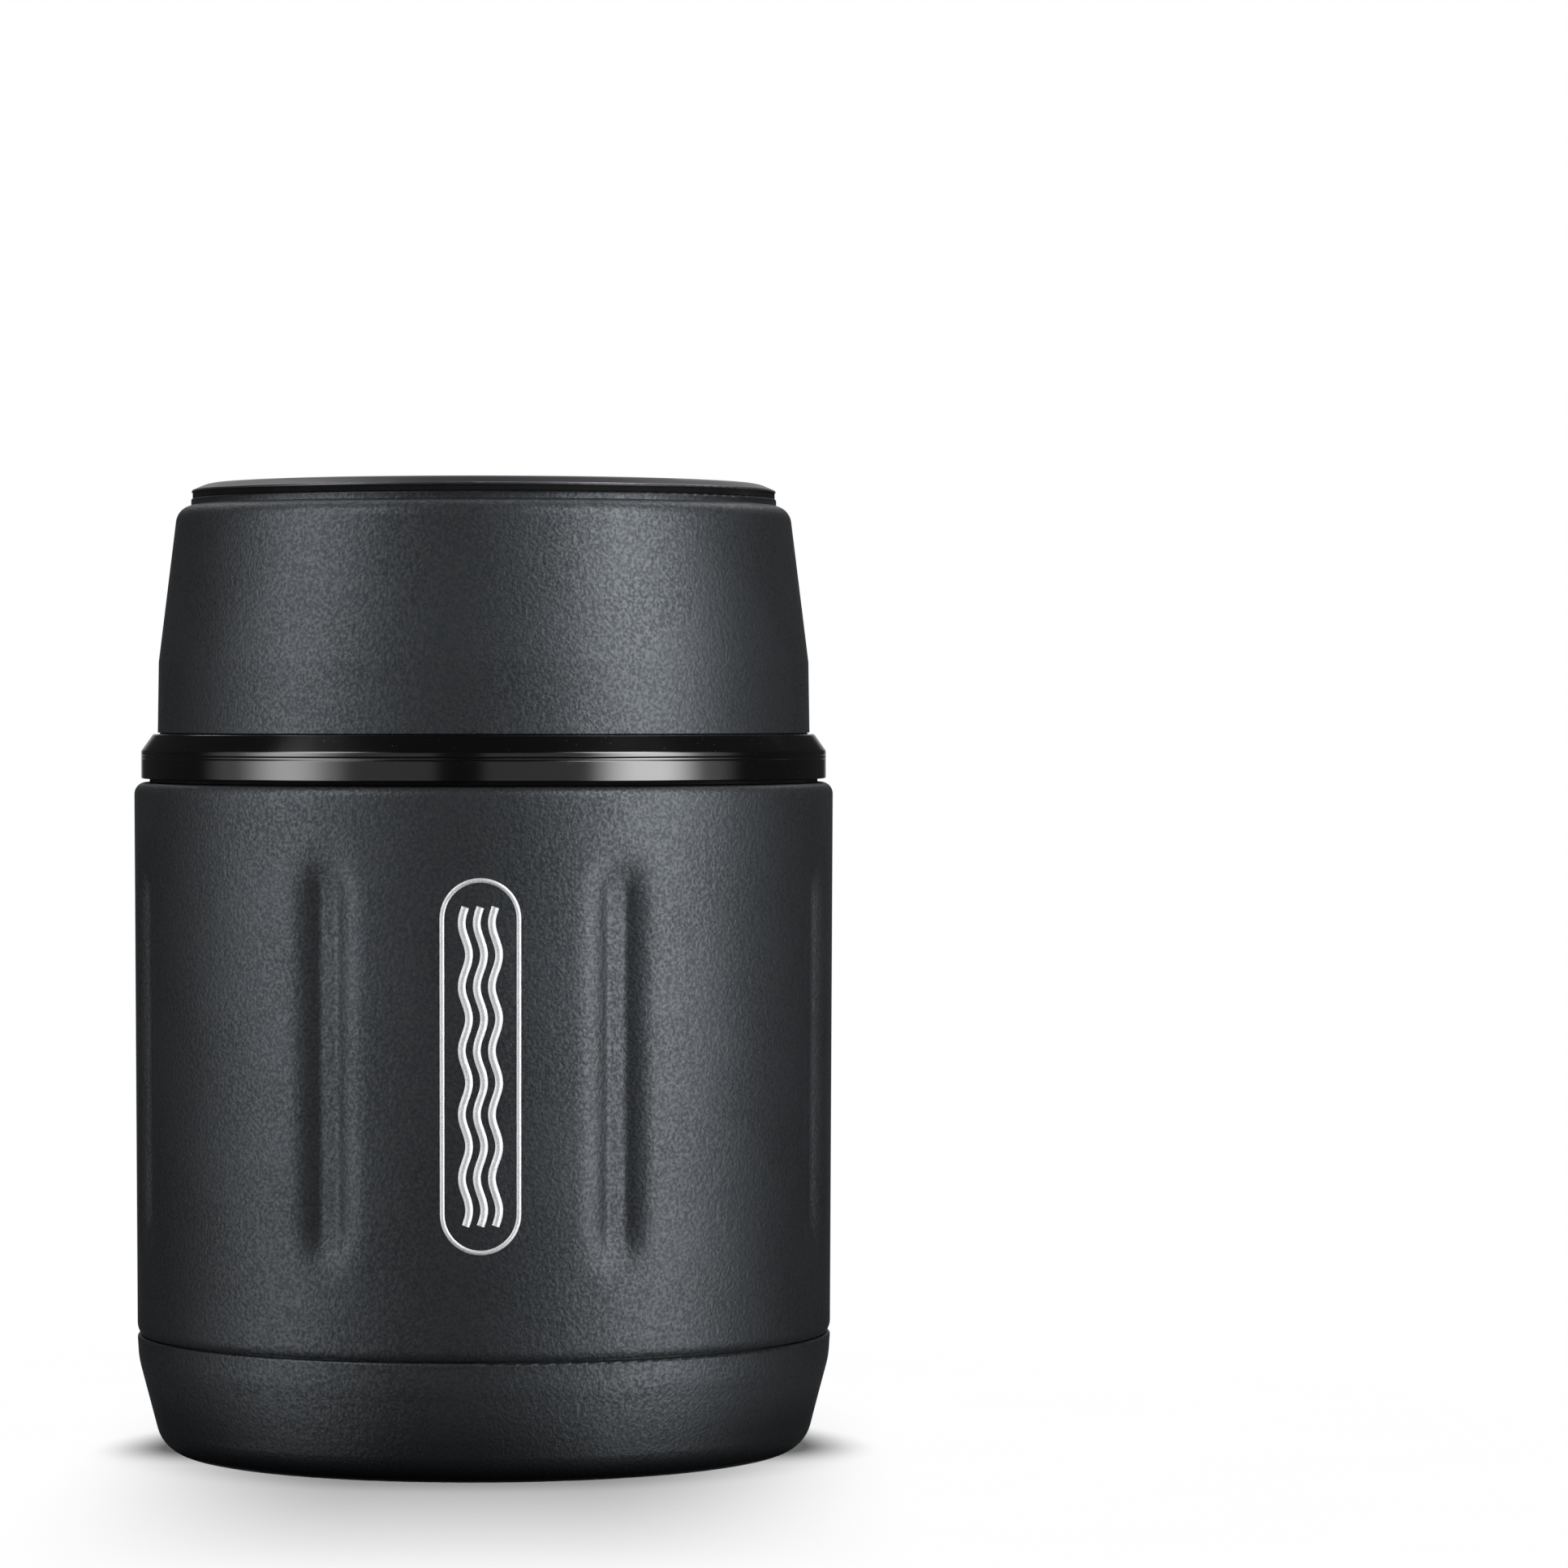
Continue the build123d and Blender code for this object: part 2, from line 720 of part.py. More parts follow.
with BuildPart() as stopper_body:
    with BuildSketch(Plane.XZ):
        with BuildLine():
            FilletPolyline(
                (vent_hole_radius, stopper_bottom_height),
                (throat_bore, stopper_bottom_height),
                (throat_bore, groove_bottom_height),
                (groove_radius, groove_bottom_height),
                (groove_radius, seat_top_height),
                (stopper_radius, seat_top_height),
                (stopper_radius, body_top),
                (body_inner_radius, body_top),
                (body_inner_radius, shelf_height),
                (groove_radius - stopper_wall, shelf_height),
                (groove_radius - stopper_wall, stopper_bottom_height + stopper_wall),
                (boss_radius + boss_wall, stopper_bottom_height + stopper_wall),
                (boss_radius + boss_wall, boss_top),
                (boss_radius, boss_top),
                (boss_radius, stopper_bottom_height + stopper_wall),
                (vent_hole_radius, stopper_bottom_height + stopper_wall),
                radius=[
                    0, soft_round, 0, 0, 0, edge_round, 0, 0,
                    soft_round, 0, edge_round, edge_round, 0, 0, 0, 0,
                ],
                close=True,
            )
        make_face()
    revolve(axis=Axis.Z)
    with PolarLocations(0, stopper_thread_starts):
        add(stopper_ridge)
stopper_body.part.label = "stopper_body"

# The gasket's cone lies along the vessel's seat, a seat clearance away from it.
cone_shift = seat_clearance / cos(radians(45))
gasket_outer_radius = vessel_crest_radius - thread_clearance
cone_start = throat_bore - gasket_setback
cone_start_height = seat_height + (cone_start - throat_radius) + cone_shift
cone_end_height = seat_height + (gasket_outer_radius - throat_radius) + cone_shift
with BuildPart() as stopper_gasket:
    with BuildSketch(Plane.XZ):
        with BuildLine():
            FilletPolyline(
                (groove_radius + groove_clearance, groove_seat),
                (cone_start, groove_seat),
                (cone_start, cone_start_height),
                (gasket_outer_radius, cone_end_height),
                (gasket_outer_radius, groove_roof),
                (groove_radius + groove_clearance, groove_roof),
                radius=[hair_round, fine_round, hair_round, fine_round, hair_round, hair_round],
                close=True,
            )
        make_face()
    revolve(axis=Axis.Z)
stopper_gasket.part.label = "stopper_gasket"

with BuildPart() as cover_seal:
    with BuildSketch(Plane.XY.offset(body_top)):
        Circle(stopper_radius - slip_clearance)
        Circle(body_inner_radius + slip_clearance, mode=Mode.SUBTRACT)
    extrude(amount=cover_seal_thickness)
cover_seal.part.label = "cover_seal"

skirt_outer = body_inner_radius - core_clearance
skirt_bottom = flange_underside - cover_skirt_depth
well_outer = well_radius + well_wall
grip_ceiling = grip_height - cover_wall
with BuildPart() as stopper_cover:
    with BuildSketch(Plane.XZ):
        with BuildLine():
            FilletPolyline(
                (well_radius, grip_height),
                (grip_radius, grip_height),
                (grip_radius, cover_flange_height),
                (cover_radius, cover_flange_height),
                (cover_radius, flange_underside),
                (skirt_outer, flange_underside),
                (skirt_outer, skirt_bottom),
                (skirt_outer - cover_skirt_wall, skirt_bottom),
                (skirt_outer - cover_skirt_wall, cover_plate_underside),
                (grip_radius - cover_wall - grip_scallop_depth, cover_plate_underside),
                (grip_radius - cover_wall - grip_scallop_depth, grip_ceiling),
                (well_outer, grip_ceiling),
                (well_outer, well_floor_height),
                (stem_hole_radius, well_floor_height),
                (stem_hole_radius, spring_seat),
                (well_radius, spring_seat),
                radius=[
                    edge_round, grip_round, edge_round, cover_flange_chamfer, fine_round, 0, 0, 0,
                    edge_round, 0, 0, 0, fine_round, 0, 0, 0,
                ],
                close=True,
            )
        make_face()
    revolve(axis=Axis.Z)
    with BuildSketch(Plane.XY.offset(cover_flange_height)):
        with PolarLocations(grip_radius + grip_scallop_radius - grip_scallop_depth, grip_count):
            Circle(grip_scallop_radius)
    extrude(amount=grip_height - cover_flange_height, mode=Mode.SUBTRACT)
stopper_cover.part.label = "stopper_cover"

foam_bottom = stopper_bottom_height + stopper_wall + core_clearance
foam_top = well_floor_height - core_clearance
foam_bore = boss_radius + boss_wall + core_clearance
foam_step = groove_radius - stopper_wall - core_clearance
with BuildPart() as stopper_foam:
    with BuildSketch(Plane.XZ):
        with BuildLine():
            FilletPolyline(
                (foam_bore, foam_bottom),
                (foam_step, foam_bottom),
                (foam_step, shelf_height + core_clearance),
                (body_inner_radius - core_clearance, shelf_height + core_clearance),
                (body_inner_radius - core_clearance, foam_top),
                (foam_bore, foam_top),
                radius=[0, foam_round, 0, foam_round, 0, 0],
                close=True,
            )
        make_face()
    revolve(axis=Axis.Z)
stopper_foam.part.label = "stopper_foam"


# ---- Vent: push button, stem, spring, seal, clip, guide and wiper ring ----

socket_radius = stem_radius + slip_clearance
ring_height = button_top_height - button_ring_drop
ring_radius = well_radius - slip_clearance - button_ring_section
with BuildPart() as vent_button:
    with BuildSketch(Plane.XZ):
        with BuildLine():
            FilletPolyline(
                (0, button_top_height),
                (button_radius, button_top_height),
                (button_radius, button_skirt_end),
                (button_radius - button_wall, button_skirt_end),
                (button_radius - button_wall, button_ceiling),
                (socket_radius + socket_wall, button_ceiling),
                (socket_radius + socket_wall, socket_end),
                (socket_radius, socket_end),
                (socket_radius, button_ceiling),
                (0, button_ceiling),
                radius=[0, button_round, fine_round, fine_round, edge_round, 0, fine_round, 0, 0, 0],
                close=True,
            )
        make_face()
    revolve(axis=Axis.Z)
    with BuildSketch(Plane.XZ):
        with Locations((ring_radius, ring_height)):
            Circle(button_ring_section + slip_clearance / 2)
    revolve(axis=Axis.Z, mode=Mode.SUBTRACT)
vent_button.part.label = "vent_button"

with BuildPart() as button_ring:
    with BuildSketch(Plane.XZ):
        with Locations((ring_radius, ring_height)):
            Circle(button_ring_section)
    revolve(axis=Axis.Z)
button_ring.part.label = "button_ring"

groove_side = slip_clearance / 2
with BuildPart() as vent_stem:
    with BuildSketch(Plane.XZ):
        with BuildLine():
            Polyline(
                (0, button_ceiling),
                (stem_radius, button_ceiling),
                (stem_radius, seal_bottom + groove_side),
                (stem_groove_radius, seal_bottom + groove_side),
                (stem_groove_radius, clip_bottom - groove_side),
                (stem_radius, clip_bottom - groove_side),
                (stem_radius, clip_bottom - stem_tail),
                (0, clip_bottom - stem_tail),
                close=True,
            )
        make_face()
    revolve(axis=Axis.Z)
vent_stem.part.label = "vent_stem"

with BuildPart() as vent_seal:
    with BuildSketch(Plane.XY.offset(seal_bottom)):
        Circle(seal_radius)
        Circle(stem_radius + slip_clearance / 2, mode=Mode.SUBTRACT)
    extrude(amount=seal_thickness)
    fillet(faces().sort_by(Axis.Z)[0].outer_wire().edges(), radius=edge_round)
vent_seal.part.label = "vent_seal"

with BuildPart() as vent_clip:
    with BuildSketch(Plane.XY.offset(clip_bottom)):
        Circle(clip_radius)
        Circle(stem_groove_radius + slip_clearance / 2, mode=Mode.SUBTRACT)
        with Locations((clip_radius / 2, 0)):
            Rectangle(clip_radius, clip_slot, mode=Mode.SUBTRACT)
    extrude(amount=clip_thickness)
vent_clip.part.label = "vent_clip"

guide_bottom = stopper_bottom_height + stopper_wall
with BuildPart() as vent_guide:
    with BuildSketch(Plane.XY.offset(guide_bottom)):
        Circle(boss_radius - slip_clearance)
        Circle(stem_radius + slip_clearance, mode=Mode.SUBTRACT)
        with PolarLocations(boss_radius, air_groove_count):
            Circle(air_groove_radius, mode=Mode.SUBTRACT)
    extrude(amount=guide_height)
vent_guide.part.label = "vent_guide"

spring_height = button_ceiling - spring_seat - spring_wire
with BuildPart() as vent_spring:
    with BuildLine() as coil:
        Helix(
            pitch=spring_height / spring_turns,
            height=spring_height,
            radius=spring_radius,
            center=(0, 0, spring_seat + spring_wire / 2),
        )
    with BuildSketch(Plane(origin=coil.line @ 0, z_dir=coil.line % 0)):
        Circle(spring_wire / 2)
    sweep(path=coil.line, is_frenet=True)
vent_spring.part.label = "vent_spring"


# ---- One STEP file for each part ----

for piece in (
    outer_shell, base_cup, base_cover, vacuum_plug, getter, inner_vessel, radiation_foil,
    neck_collar, collar_gasket, cap_shell, cap_liner, cap_foam, cap_top_disc,
    stopper_cover, stopper_body, stopper_foam, stopper_gasket, cover_seal,
    vent_button, button_ring, vent_stem, vent_seal, vent_clip, vent_guide, vent_spring,
):
    export_step(piece.part, f"parts/{piece.part.label}.step")
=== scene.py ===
from math import atan, ceil, cos, pi, radians, sin, tan
from types import SimpleNamespace

import bmesh
import bpy
from mathutils import Matrix, Vector


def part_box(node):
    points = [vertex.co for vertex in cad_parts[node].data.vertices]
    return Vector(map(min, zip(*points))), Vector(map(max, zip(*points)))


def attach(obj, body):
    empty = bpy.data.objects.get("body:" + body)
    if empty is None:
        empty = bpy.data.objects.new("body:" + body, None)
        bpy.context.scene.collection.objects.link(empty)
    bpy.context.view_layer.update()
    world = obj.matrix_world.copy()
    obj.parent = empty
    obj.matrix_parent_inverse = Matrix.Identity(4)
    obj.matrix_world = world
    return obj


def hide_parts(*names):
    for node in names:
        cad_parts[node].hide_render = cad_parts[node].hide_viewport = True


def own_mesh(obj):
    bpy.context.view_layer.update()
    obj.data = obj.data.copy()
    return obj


# Dressing of an insulated food jar. Everything is in metres, +Z up, front at -Y.

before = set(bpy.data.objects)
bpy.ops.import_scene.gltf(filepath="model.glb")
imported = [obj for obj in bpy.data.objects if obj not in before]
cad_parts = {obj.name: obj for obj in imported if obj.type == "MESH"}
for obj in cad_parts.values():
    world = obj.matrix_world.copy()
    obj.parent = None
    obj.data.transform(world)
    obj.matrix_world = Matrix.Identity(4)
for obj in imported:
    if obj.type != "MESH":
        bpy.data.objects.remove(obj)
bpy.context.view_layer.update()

MM = 0.001
FULL_TURN = 2 * pi


# ---- Node trees: values with operators, and one way to add any node ----


class Value:
    """An output of a node. Arithmetic on it adds Math nodes."""

    def __init__(self, nodes, socket):
        self.nodes = nodes
        self.socket = socket

    def math(self, operation, *others):
        return self.nodes.math(operation, self, *others)

    def __add__(self, other):
        return self.math("ADD", other)

    def __sub__(self, other):
        return self.math("SUBTRACT", other)

    def __rsub__(self, other):
        return self.nodes.math("SUBTRACT", other, self)

    def __mul__(self, other):
        return self.math("MULTIPLY", other)

    def __truediv__(self, other):
        return self.math("DIVIDE", other)

    def __lt__(self, other):
        return self.math("LESS_THAN", other)

    def __gt__(self, other):
        return self.math("GREATER_THAN", other)

    __radd__ = __add__
    __rmul__ = __mul__

    def sin(self):
        return self.math("SINE")

    def cos(self):
        return self.math("COSINE")

    def length_with(self, other):
        return (self * self + other * other).math("SQRT")


class Nodes:
    """A node tree, and the one way to add a node to it."""

    def __init__(self, tree):
        self.tree = tree

    def add(self, kind, settings=None, inputs=None, output=0):
        """Add a node, set it up, plug in its values and links, and return one of its outputs."""
        node = self.tree.nodes.new(kind)
        for name, setting in (settings or {}).items():
            if name == "stops":
                set_stops(node.color_ramp, setting)
            else:
                setattr(node, name, setting)
        for name, value in (inputs or {}).items():
            self.plug(value, node.inputs[name])
        return Value(self, node.outputs[output]) if len(node.outputs) else None

    def plug(self, value, socket):
        """Link a Value to a socket, or set the socket to a plain value."""
        if isinstance(value, Value):
            self.tree.links.new(value.socket, socket)
        else:
            socket.default_value = value

    def math(self, operation, *values):
        return self.add("ShaderNodeMath", {"operation": operation}, dict(enumerate(values)))

    def axes(self, vector):
        """X, Y and Z of a vector."""
        split = self.add("ShaderNodeSeparateXYZ", inputs={0: vector})
        return [Value(self, socket) for socket in split.socket.node.outputs]

    def vector(self, x, y, z):
        return self.add("ShaderNodeCombineXYZ", inputs={0: x, 1: y, 2: z})

    def remap(self, value, low, high, to_low=0.0, to_high=1.0, kind="SMOOTHSTEP"):
        """Bring low to high onto to_low to to_high, and hold the ends."""
        return self.add(
            "ShaderNodeMapRange",
            {"interpolation_type": kind},
            {0: value, 1: low, 2: high, 3: to_low, 4: to_high},
        )


def set_stops(ramp, stops):
    while len(ramp.elements) < len(stops):
        ramp.elements.new(1.0)
    for element, (place, colour) in zip(ramp.elements, stops):
        element.position = place
        element.color = (*colour, 1.0)


def scaled(colour, factor):
    return tuple(channel * factor for channel in colour)


class Finish(Nodes):
    """A material under construction: its shader, and the patterns that the finishes share."""

    def __init__(self, name, **constants):
        self.material = bpy.data.materials.new(name)
        self.material.use_nodes = True
        super().__init__(self.material.node_tree)
        self.shader = self.tree.nodes["Principled BSDF"]
        for socket, value in constants.items():
            self.shader.inputs[socket.replace("_", " ")].default_value = value
        self.place = self.add("ShaderNodeTexCoord", output="Object")
        self.bumps = None

    def set(self, socket, value):
        self.plug(value, self.shader.inputs[socket])

    def height(self):
        """Height above the floor at rest."""
        return self.axes(self.place)[2]

    def noise(self, grain, detail=2.0, roughness=0.5, place=None, distortion=0.0):
        """Noise whose grains are about the given size in metres."""
        return self.add(
            "ShaderNodeTexNoise",
            inputs={
                "Vector": place or self.place,
                "Scale": 1.0 / grain,
                "Detail": detail,
                "Roughness": roughness,
                "Distortion": distortion,
            },
        )

    def cells(self, grain):
        """Distance from the middles of cells of about the given size in metres."""
        return self.add("ShaderNodeTexVoronoi", inputs={"Vector": self.place, "Scale": 1.0 / grain})

    def mix(self, factor, first, second):
        """Blend of two colours; a colour is a tuple or a Value."""
        first, second = ((*c, 1.0) if isinstance(c, tuple) else c for c in (first, second))
        return self.add("ShaderNodeMix", {"data_type": "RGBA"}, {0: factor, 6: first, 7: second}, output=2)

    def bump(self, height, depth):
        """Raise the surface by height, 0 to 1, times depth in metres, over the bumps it already has."""
        inputs = {"Height": height, "Distance": depth, "Strength": 1.0}
        if self.bumps:
            inputs["Normal"] = self.bumps
        self.bumps = self.add("ShaderNodeBump", inputs=inputs)
        self.set("Normal", self.bumps)


# ---- Sizes read from the frame ----

shell_low, shell_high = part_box("outer_shell")
cap_low, cap_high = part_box("cap_shell")
disc_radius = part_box("cap_top_disc")[1].x
collar_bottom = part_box("neck_collar")[0].z
spring_low, spring_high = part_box("vent_spring")

body_radius = shell_high.x
shoulder_height = collar_bottom - 0.5 * MM


# ---- Finishes ----

NAVY_BLACK = (0.0275, 0.0305, 0.0355)
SLATE_FLECK = (0.065, 0.070, 0.073)
# Near black that the painted shade by height darkens the coat towards.
PAINTED_SHADE_DARK = (0.004, 0.005, 0.006)
# Black of the painted shade in the gap under the collar.
GAP_SHADE_BLACK = (0.002, 0.002, 0.002)
BARE_STEEL = (0.56, 0.55, 0.535)
GREY_SILICONE = (0.52, 0.53, 0.52)

# Painted shade by height, as the strength of the coat's colour: weak low on the body as a painted contact
# shadow and painted falloff of the light, and at the rim beside the disc's slot as painted shade under the
# disc.
body_painted_shade = [
    (0.0, 0.38),
    (5.5 * MM, 0.45),
    (11.0 * MM, 0.96),
    (13.0 * MM, 0.95),
    (17.0 * MM, 0.80),
    (35.0 * MM, 0.83),
    (65.0 * MM, 0.98),
    (95.0 * MM, 1.0),
]
cap_painted_shade = [
    (0.0, 1.0),
    (cap_high.z - 1.0 * MM, 1.0),
    (cap_high.z - 0.5 * MM, 0.62),
    (cap_high.z, 0.30),
]


def hammered_coat(name, tone, bare=None, gap_shade_height=None):
    """Fine hammer-finish powder coat, darkened by height with painted shade.

    bare(finish) masks what is left as bare steel, and above gap_shade_height the coat is painted black as
    painted shade in the gap under the collar.
    """
    coat = Finish(name, Specular_IOR_Level=0.5)
    grain = coat.noise(0.47 * MM, roughness=0.6)
    dimples = coat.noise(0.78 * MM, detail=1.0, roughness=0.4)
    patches = coat.noise(14 * MM)
    fleck = coat.remap(grain, 0.34, 0.68)
    tint = coat.mix(coat.remap(patches, 0.35, 0.65), NAVY_BLACK, scaled(NAVY_BLACK, 1.3))
    colour = coat.mix(fleck, tint, SLATE_FLECK)
    # Painted shade: the coat turns black at the top of the shoulder, in the gap under the collar.
    if gap_shade_height:
        gap_shade_fade = 0.2 * MM
        in_gap_shade = coat.remap(coat.height(), gap_shade_height, gap_shade_height + gap_shade_fade)
        colour = coat.mix(in_gap_shade, colour, GAP_SHADE_BLACK)
    # Painted shade: a ramp by height darkens the coat's colour towards near black.
    top = tone[-1][0]
    stops = [(height / top, (strength,) * 3) for height, strength in tone]
    strength = coat.add("ShaderNodeValToRGB", {"stops": stops}, {0: coat.height() / top})
    colour = coat.mix(strength, PAINTED_SHADE_DARK, colour)
    roughness = 0.445 - fleck * 0.06 + dimples * 0.06
    metallic = fleck * 0.08 + 0.80
    if bare:
        steel_roughness = 0.26
        mask = bare(coat)
        colour = coat.mix(mask, colour, BARE_STEEL)
        roughness = roughness + mask * (steel_roughness - roughness)
        metallic = metallic.math("MAXIMUM", mask)
    coat.set("Base Color", colour)
    coat.set("Roughness", roughness)
    coat.set("Metallic", metallic)
    coat.bump(grain * 0.65 + dimples * 0.35, 0.12 * MM)
    return coat.material


def bare_neck(radius, bottom):
    """Mask of the steel neck under the collar."""

    def mask(finish):
        x, y, z = finish.axes(finish.place)
        return (x.length_with(y) < radius) * (z > bottom)

    return mask


def bare_underside(ring_radius, wear_height):
    """Mask of the bare recess in the foot and of the worn edge that it stands on."""
    recess_bottom = 0.3 * MM

    def mask(finish):
        x, y, z = finish.axes(finish.place)
        recess = (x.length_with(y) < ring_radius) * (z > recess_bottom)
        scuffs = finish.remap(finish.noise(1.8 * MM, detail=4.0), 0.42, 0.6)
        worn = (z < wear_height) * scuffs
        return recess.math("MAXIMUM", worn)

    return mask


def spun_steel(name, tint=BARE_STEEL, roughness=0.27, ring=0.10 * MM):
    """Stainless steel with the fine rings that spinning and polishing leave."""
    steel = Finish(name, Metallic=1.0)
    x, y, z = steel.axes(steel.place)
    radius = x.length_with(y)
    turn = y.math("ARCTAN2", x)
    ring_place = steel.vector(radius / ring, z / ring, turn * 1.5)
    rings = steel.noise(1.0, detail=3.0, place=ring_place)
    smears = steel.noise(9 * MM, detail=3.0, roughness=0.6)
    shade = steel.remap(rings * 0.6 + smears * 0.4, 0.3, 0.7)
    steel.set("Base Color", steel.mix(shade, scaled(tint, 0.82), tint))
    steel.set("Roughness", roughness + rings * 0.10 + smears * 0.08 - 0.07)
    steel.bump(rings, 0.004 * MM)
    return steel.material


def polished_black(name, line_height):
    """Polished black plastic with faint swirl marks, a trace of dust and a fine moulded line."""
    line_half_width = 0.06 * MM
    line_reach = 0.36 * MM
    gloss = Finish(name, Specular_IOR_Level=1.0)
    swirl = gloss.noise(5 * MM, detail=3.0, roughness=0.65)
    ripple = gloss.noise(11 * MM, detail=0.0)
    dust = gloss.remap(gloss.noise(0.35 * MM, detail=1.0), 0.72, 0.80)
    gloss.set("Base Color", gloss.mix(dust * 0.25, (0.0010, 0.0010, 0.0013), (0.06, 0.06, 0.06)))
    gloss.set("Roughness", 0.105 + swirl * 0.06 + dust * 0.15)
    off_line = (gloss.height() - line_height).math("ABSOLUTE")
    gloss.bump(gloss.remap(off_line, line_half_width, line_reach), 0.16 * MM)
    gloss.bump(ripple, 0.01 * MM)
    return gloss.material


def satin_plastic(name, colour, roughness=0.42, grain=0.28 * MM, depth=0.010 * MM, shine=0.5):
    """Moulded plastic with a fine eroded texture and slightly uneven shade."""
    satin = Finish(name, Specular_IOR_Level=shine)
    texture = satin.noise(grain)
    shade = satin.noise(12 * MM)
    handled = satin.noise(4 * MM, detail=3.0, roughness=0.65)
    lighter = tuple(min(1.0, channel * 1.25 + 0.004) for channel in colour)
    unevenness = satin.remap(shade * 0.7 + texture * 0.3, 0.35, 0.65)
    satin.set("Base Color", satin.mix(unevenness, colour, lighter))
    satin.set("Roughness", roughness + handled * 0.12 - 0.06)
    satin.bump(texture, depth)
    return satin.material


def silicone(name, colour=GREY_SILICONE):
    """Soft moulded silicone, slightly milky, with a dusty surface."""
    soft = Finish(name, Specular_IOR_Level=0.4, Subsurface_Weight=0.15, Subsurface_Scale=1.5 * MM)
    dust = soft.noise(0.5 * MM, detail=3.0)
    cloud = soft.noise(6 * MM)
    soft.set("Base Color", soft.mix(cloud, scaled(colour, 0.86), colour))
    soft.set("Roughness", 0.45 + dust * 0.2)
    soft.bump(dust, 0.006 * MM)
    return soft.material


def closed_cell_foam(name):
    """White foam whose beads show as shallow domes."""
    foam = Finish(name, Specular_IOR_Level=0.25)
    beads = foam.cells(1.6 * MM)
    shade = foam.remap(beads, 0.15, 0.75)
    foam.set("Base Color", foam.mix(shade, (0.80, 0.79, 0.75), (0.60, 0.58, 0.54)))
    foam.set("Roughness", 0.85 + shade * 0.1)
    foam.bump(1.0 - beads, 0.12 * MM)
    return foam.material


def pressed_powder(name):
    """Grey tablet pressed from coarse powder."""
    powder = Finish(name)
    grit = powder.noise(0.3 * MM, detail=4.0, roughness=0.7)
    powder.set("Base Color", powder.mix(grit, (0.16, 0.155, 0.15), (0.32, 0.31, 0.29)))
    powder.set("Roughness", 0.8 + grit * 0.15)
    powder.bump(grit, 0.05 * MM)
    return powder.material


def crinkled_foil(name):
    """Bright copper foil with creases from being wrapped."""
    foil = Finish(name, Metallic=1.0)
    folds = foil.noise(7 * MM, detail=4.0, roughness=0.6, distortion=0.6)
    foil.set("Base Color", foil.mix(folds, (0.80, 0.52, 0.36), (0.90, 0.66, 0.50)))
    foil.set("Roughness", 0.16 + folds * 0.12)
    foil.bump(folds, 0.25 * MM)
    return foil.material


def printed_silver(name):
    """Silver ink: fine metal flake in a satin binder."""
    ink = Finish(name, Specular_IOR_Level=0.5)
    flake = ink.noise(0.16 * MM, detail=1.0)
    ink.set("Base Color", ink.mix(ink.remap(flake, 0.3, 0.7), (0.47, 0.48, 0.49), (0.67, 0.68, 0.69)))
    ink.set("Metallic", 0.35 + flake * 0.1)
    ink.set("Roughness", 0.38 + flake * 0.1)
    ink.bump(flake, 0.006 * MM)
    return ink.material


def floor_paper(name):
    """White glowing paper with the jar's soft shadow painted round its foot and in front, fading into the
    background.
    """
    beside_span = (14 * MM, 60 * MM)
    ahead_span = (20 * MM, 150 * MM)
    behind_span = (20 * MM, -90 * MM)
    contact_span = (43 * MM, 57 * MM)
    contact_front_span = (-5 * MM, 22 * MM)
    paper_fade_span = (120 * MM, 300 * MM)
    deepest_shade = 0.85
    paper = Finish(name, Base_Color=(0.0, 0.0, 0.0, 1.0), Specular_IOR_Level=0.0, Emission_Strength=1.0)
    x, y, _ = paper.axes(paper.place)
    radius = x.length_with(y)
    forward = y * -1.0
    beside = paper.remap(x.math("ABSOLUTE"), *beside_span, 1.0, 0.0)
    ahead = paper.remap(forward, *ahead_span, 0.68, 0.0, kind="LINEAR")
    behind = paper.remap(forward, *behind_span, 1.0, 0.0)
    contact = paper.remap(radius, *contact_span, deepest_shade, 0.0)
    contact = contact * paper.remap(forward, *contact_front_span, 1.0, 0.15)
    # Painted shadow: the jar's shade is painted into the floor's glow.
    shade = beside * ahead * behind + contact
    mottle = paper.noise(40 * MM)
    light = 1.0 - shade.math("MINIMUM", deepest_shade) - mottle * 0.01
    paper.set("Emission Color", paper.mix(light, (0.0, 0.0, 0.0), (1.0, 1.0, 1.0)))
    from_below = paper.add("ShaderNodeNewGeometry", output="Backfacing")
    paper.set("Alpha", paper.remap(radius, *paper_fade_span, 1.0, 0.0) * (1.0 - from_below))
    return paper.material


# ---- Geometry trees ----


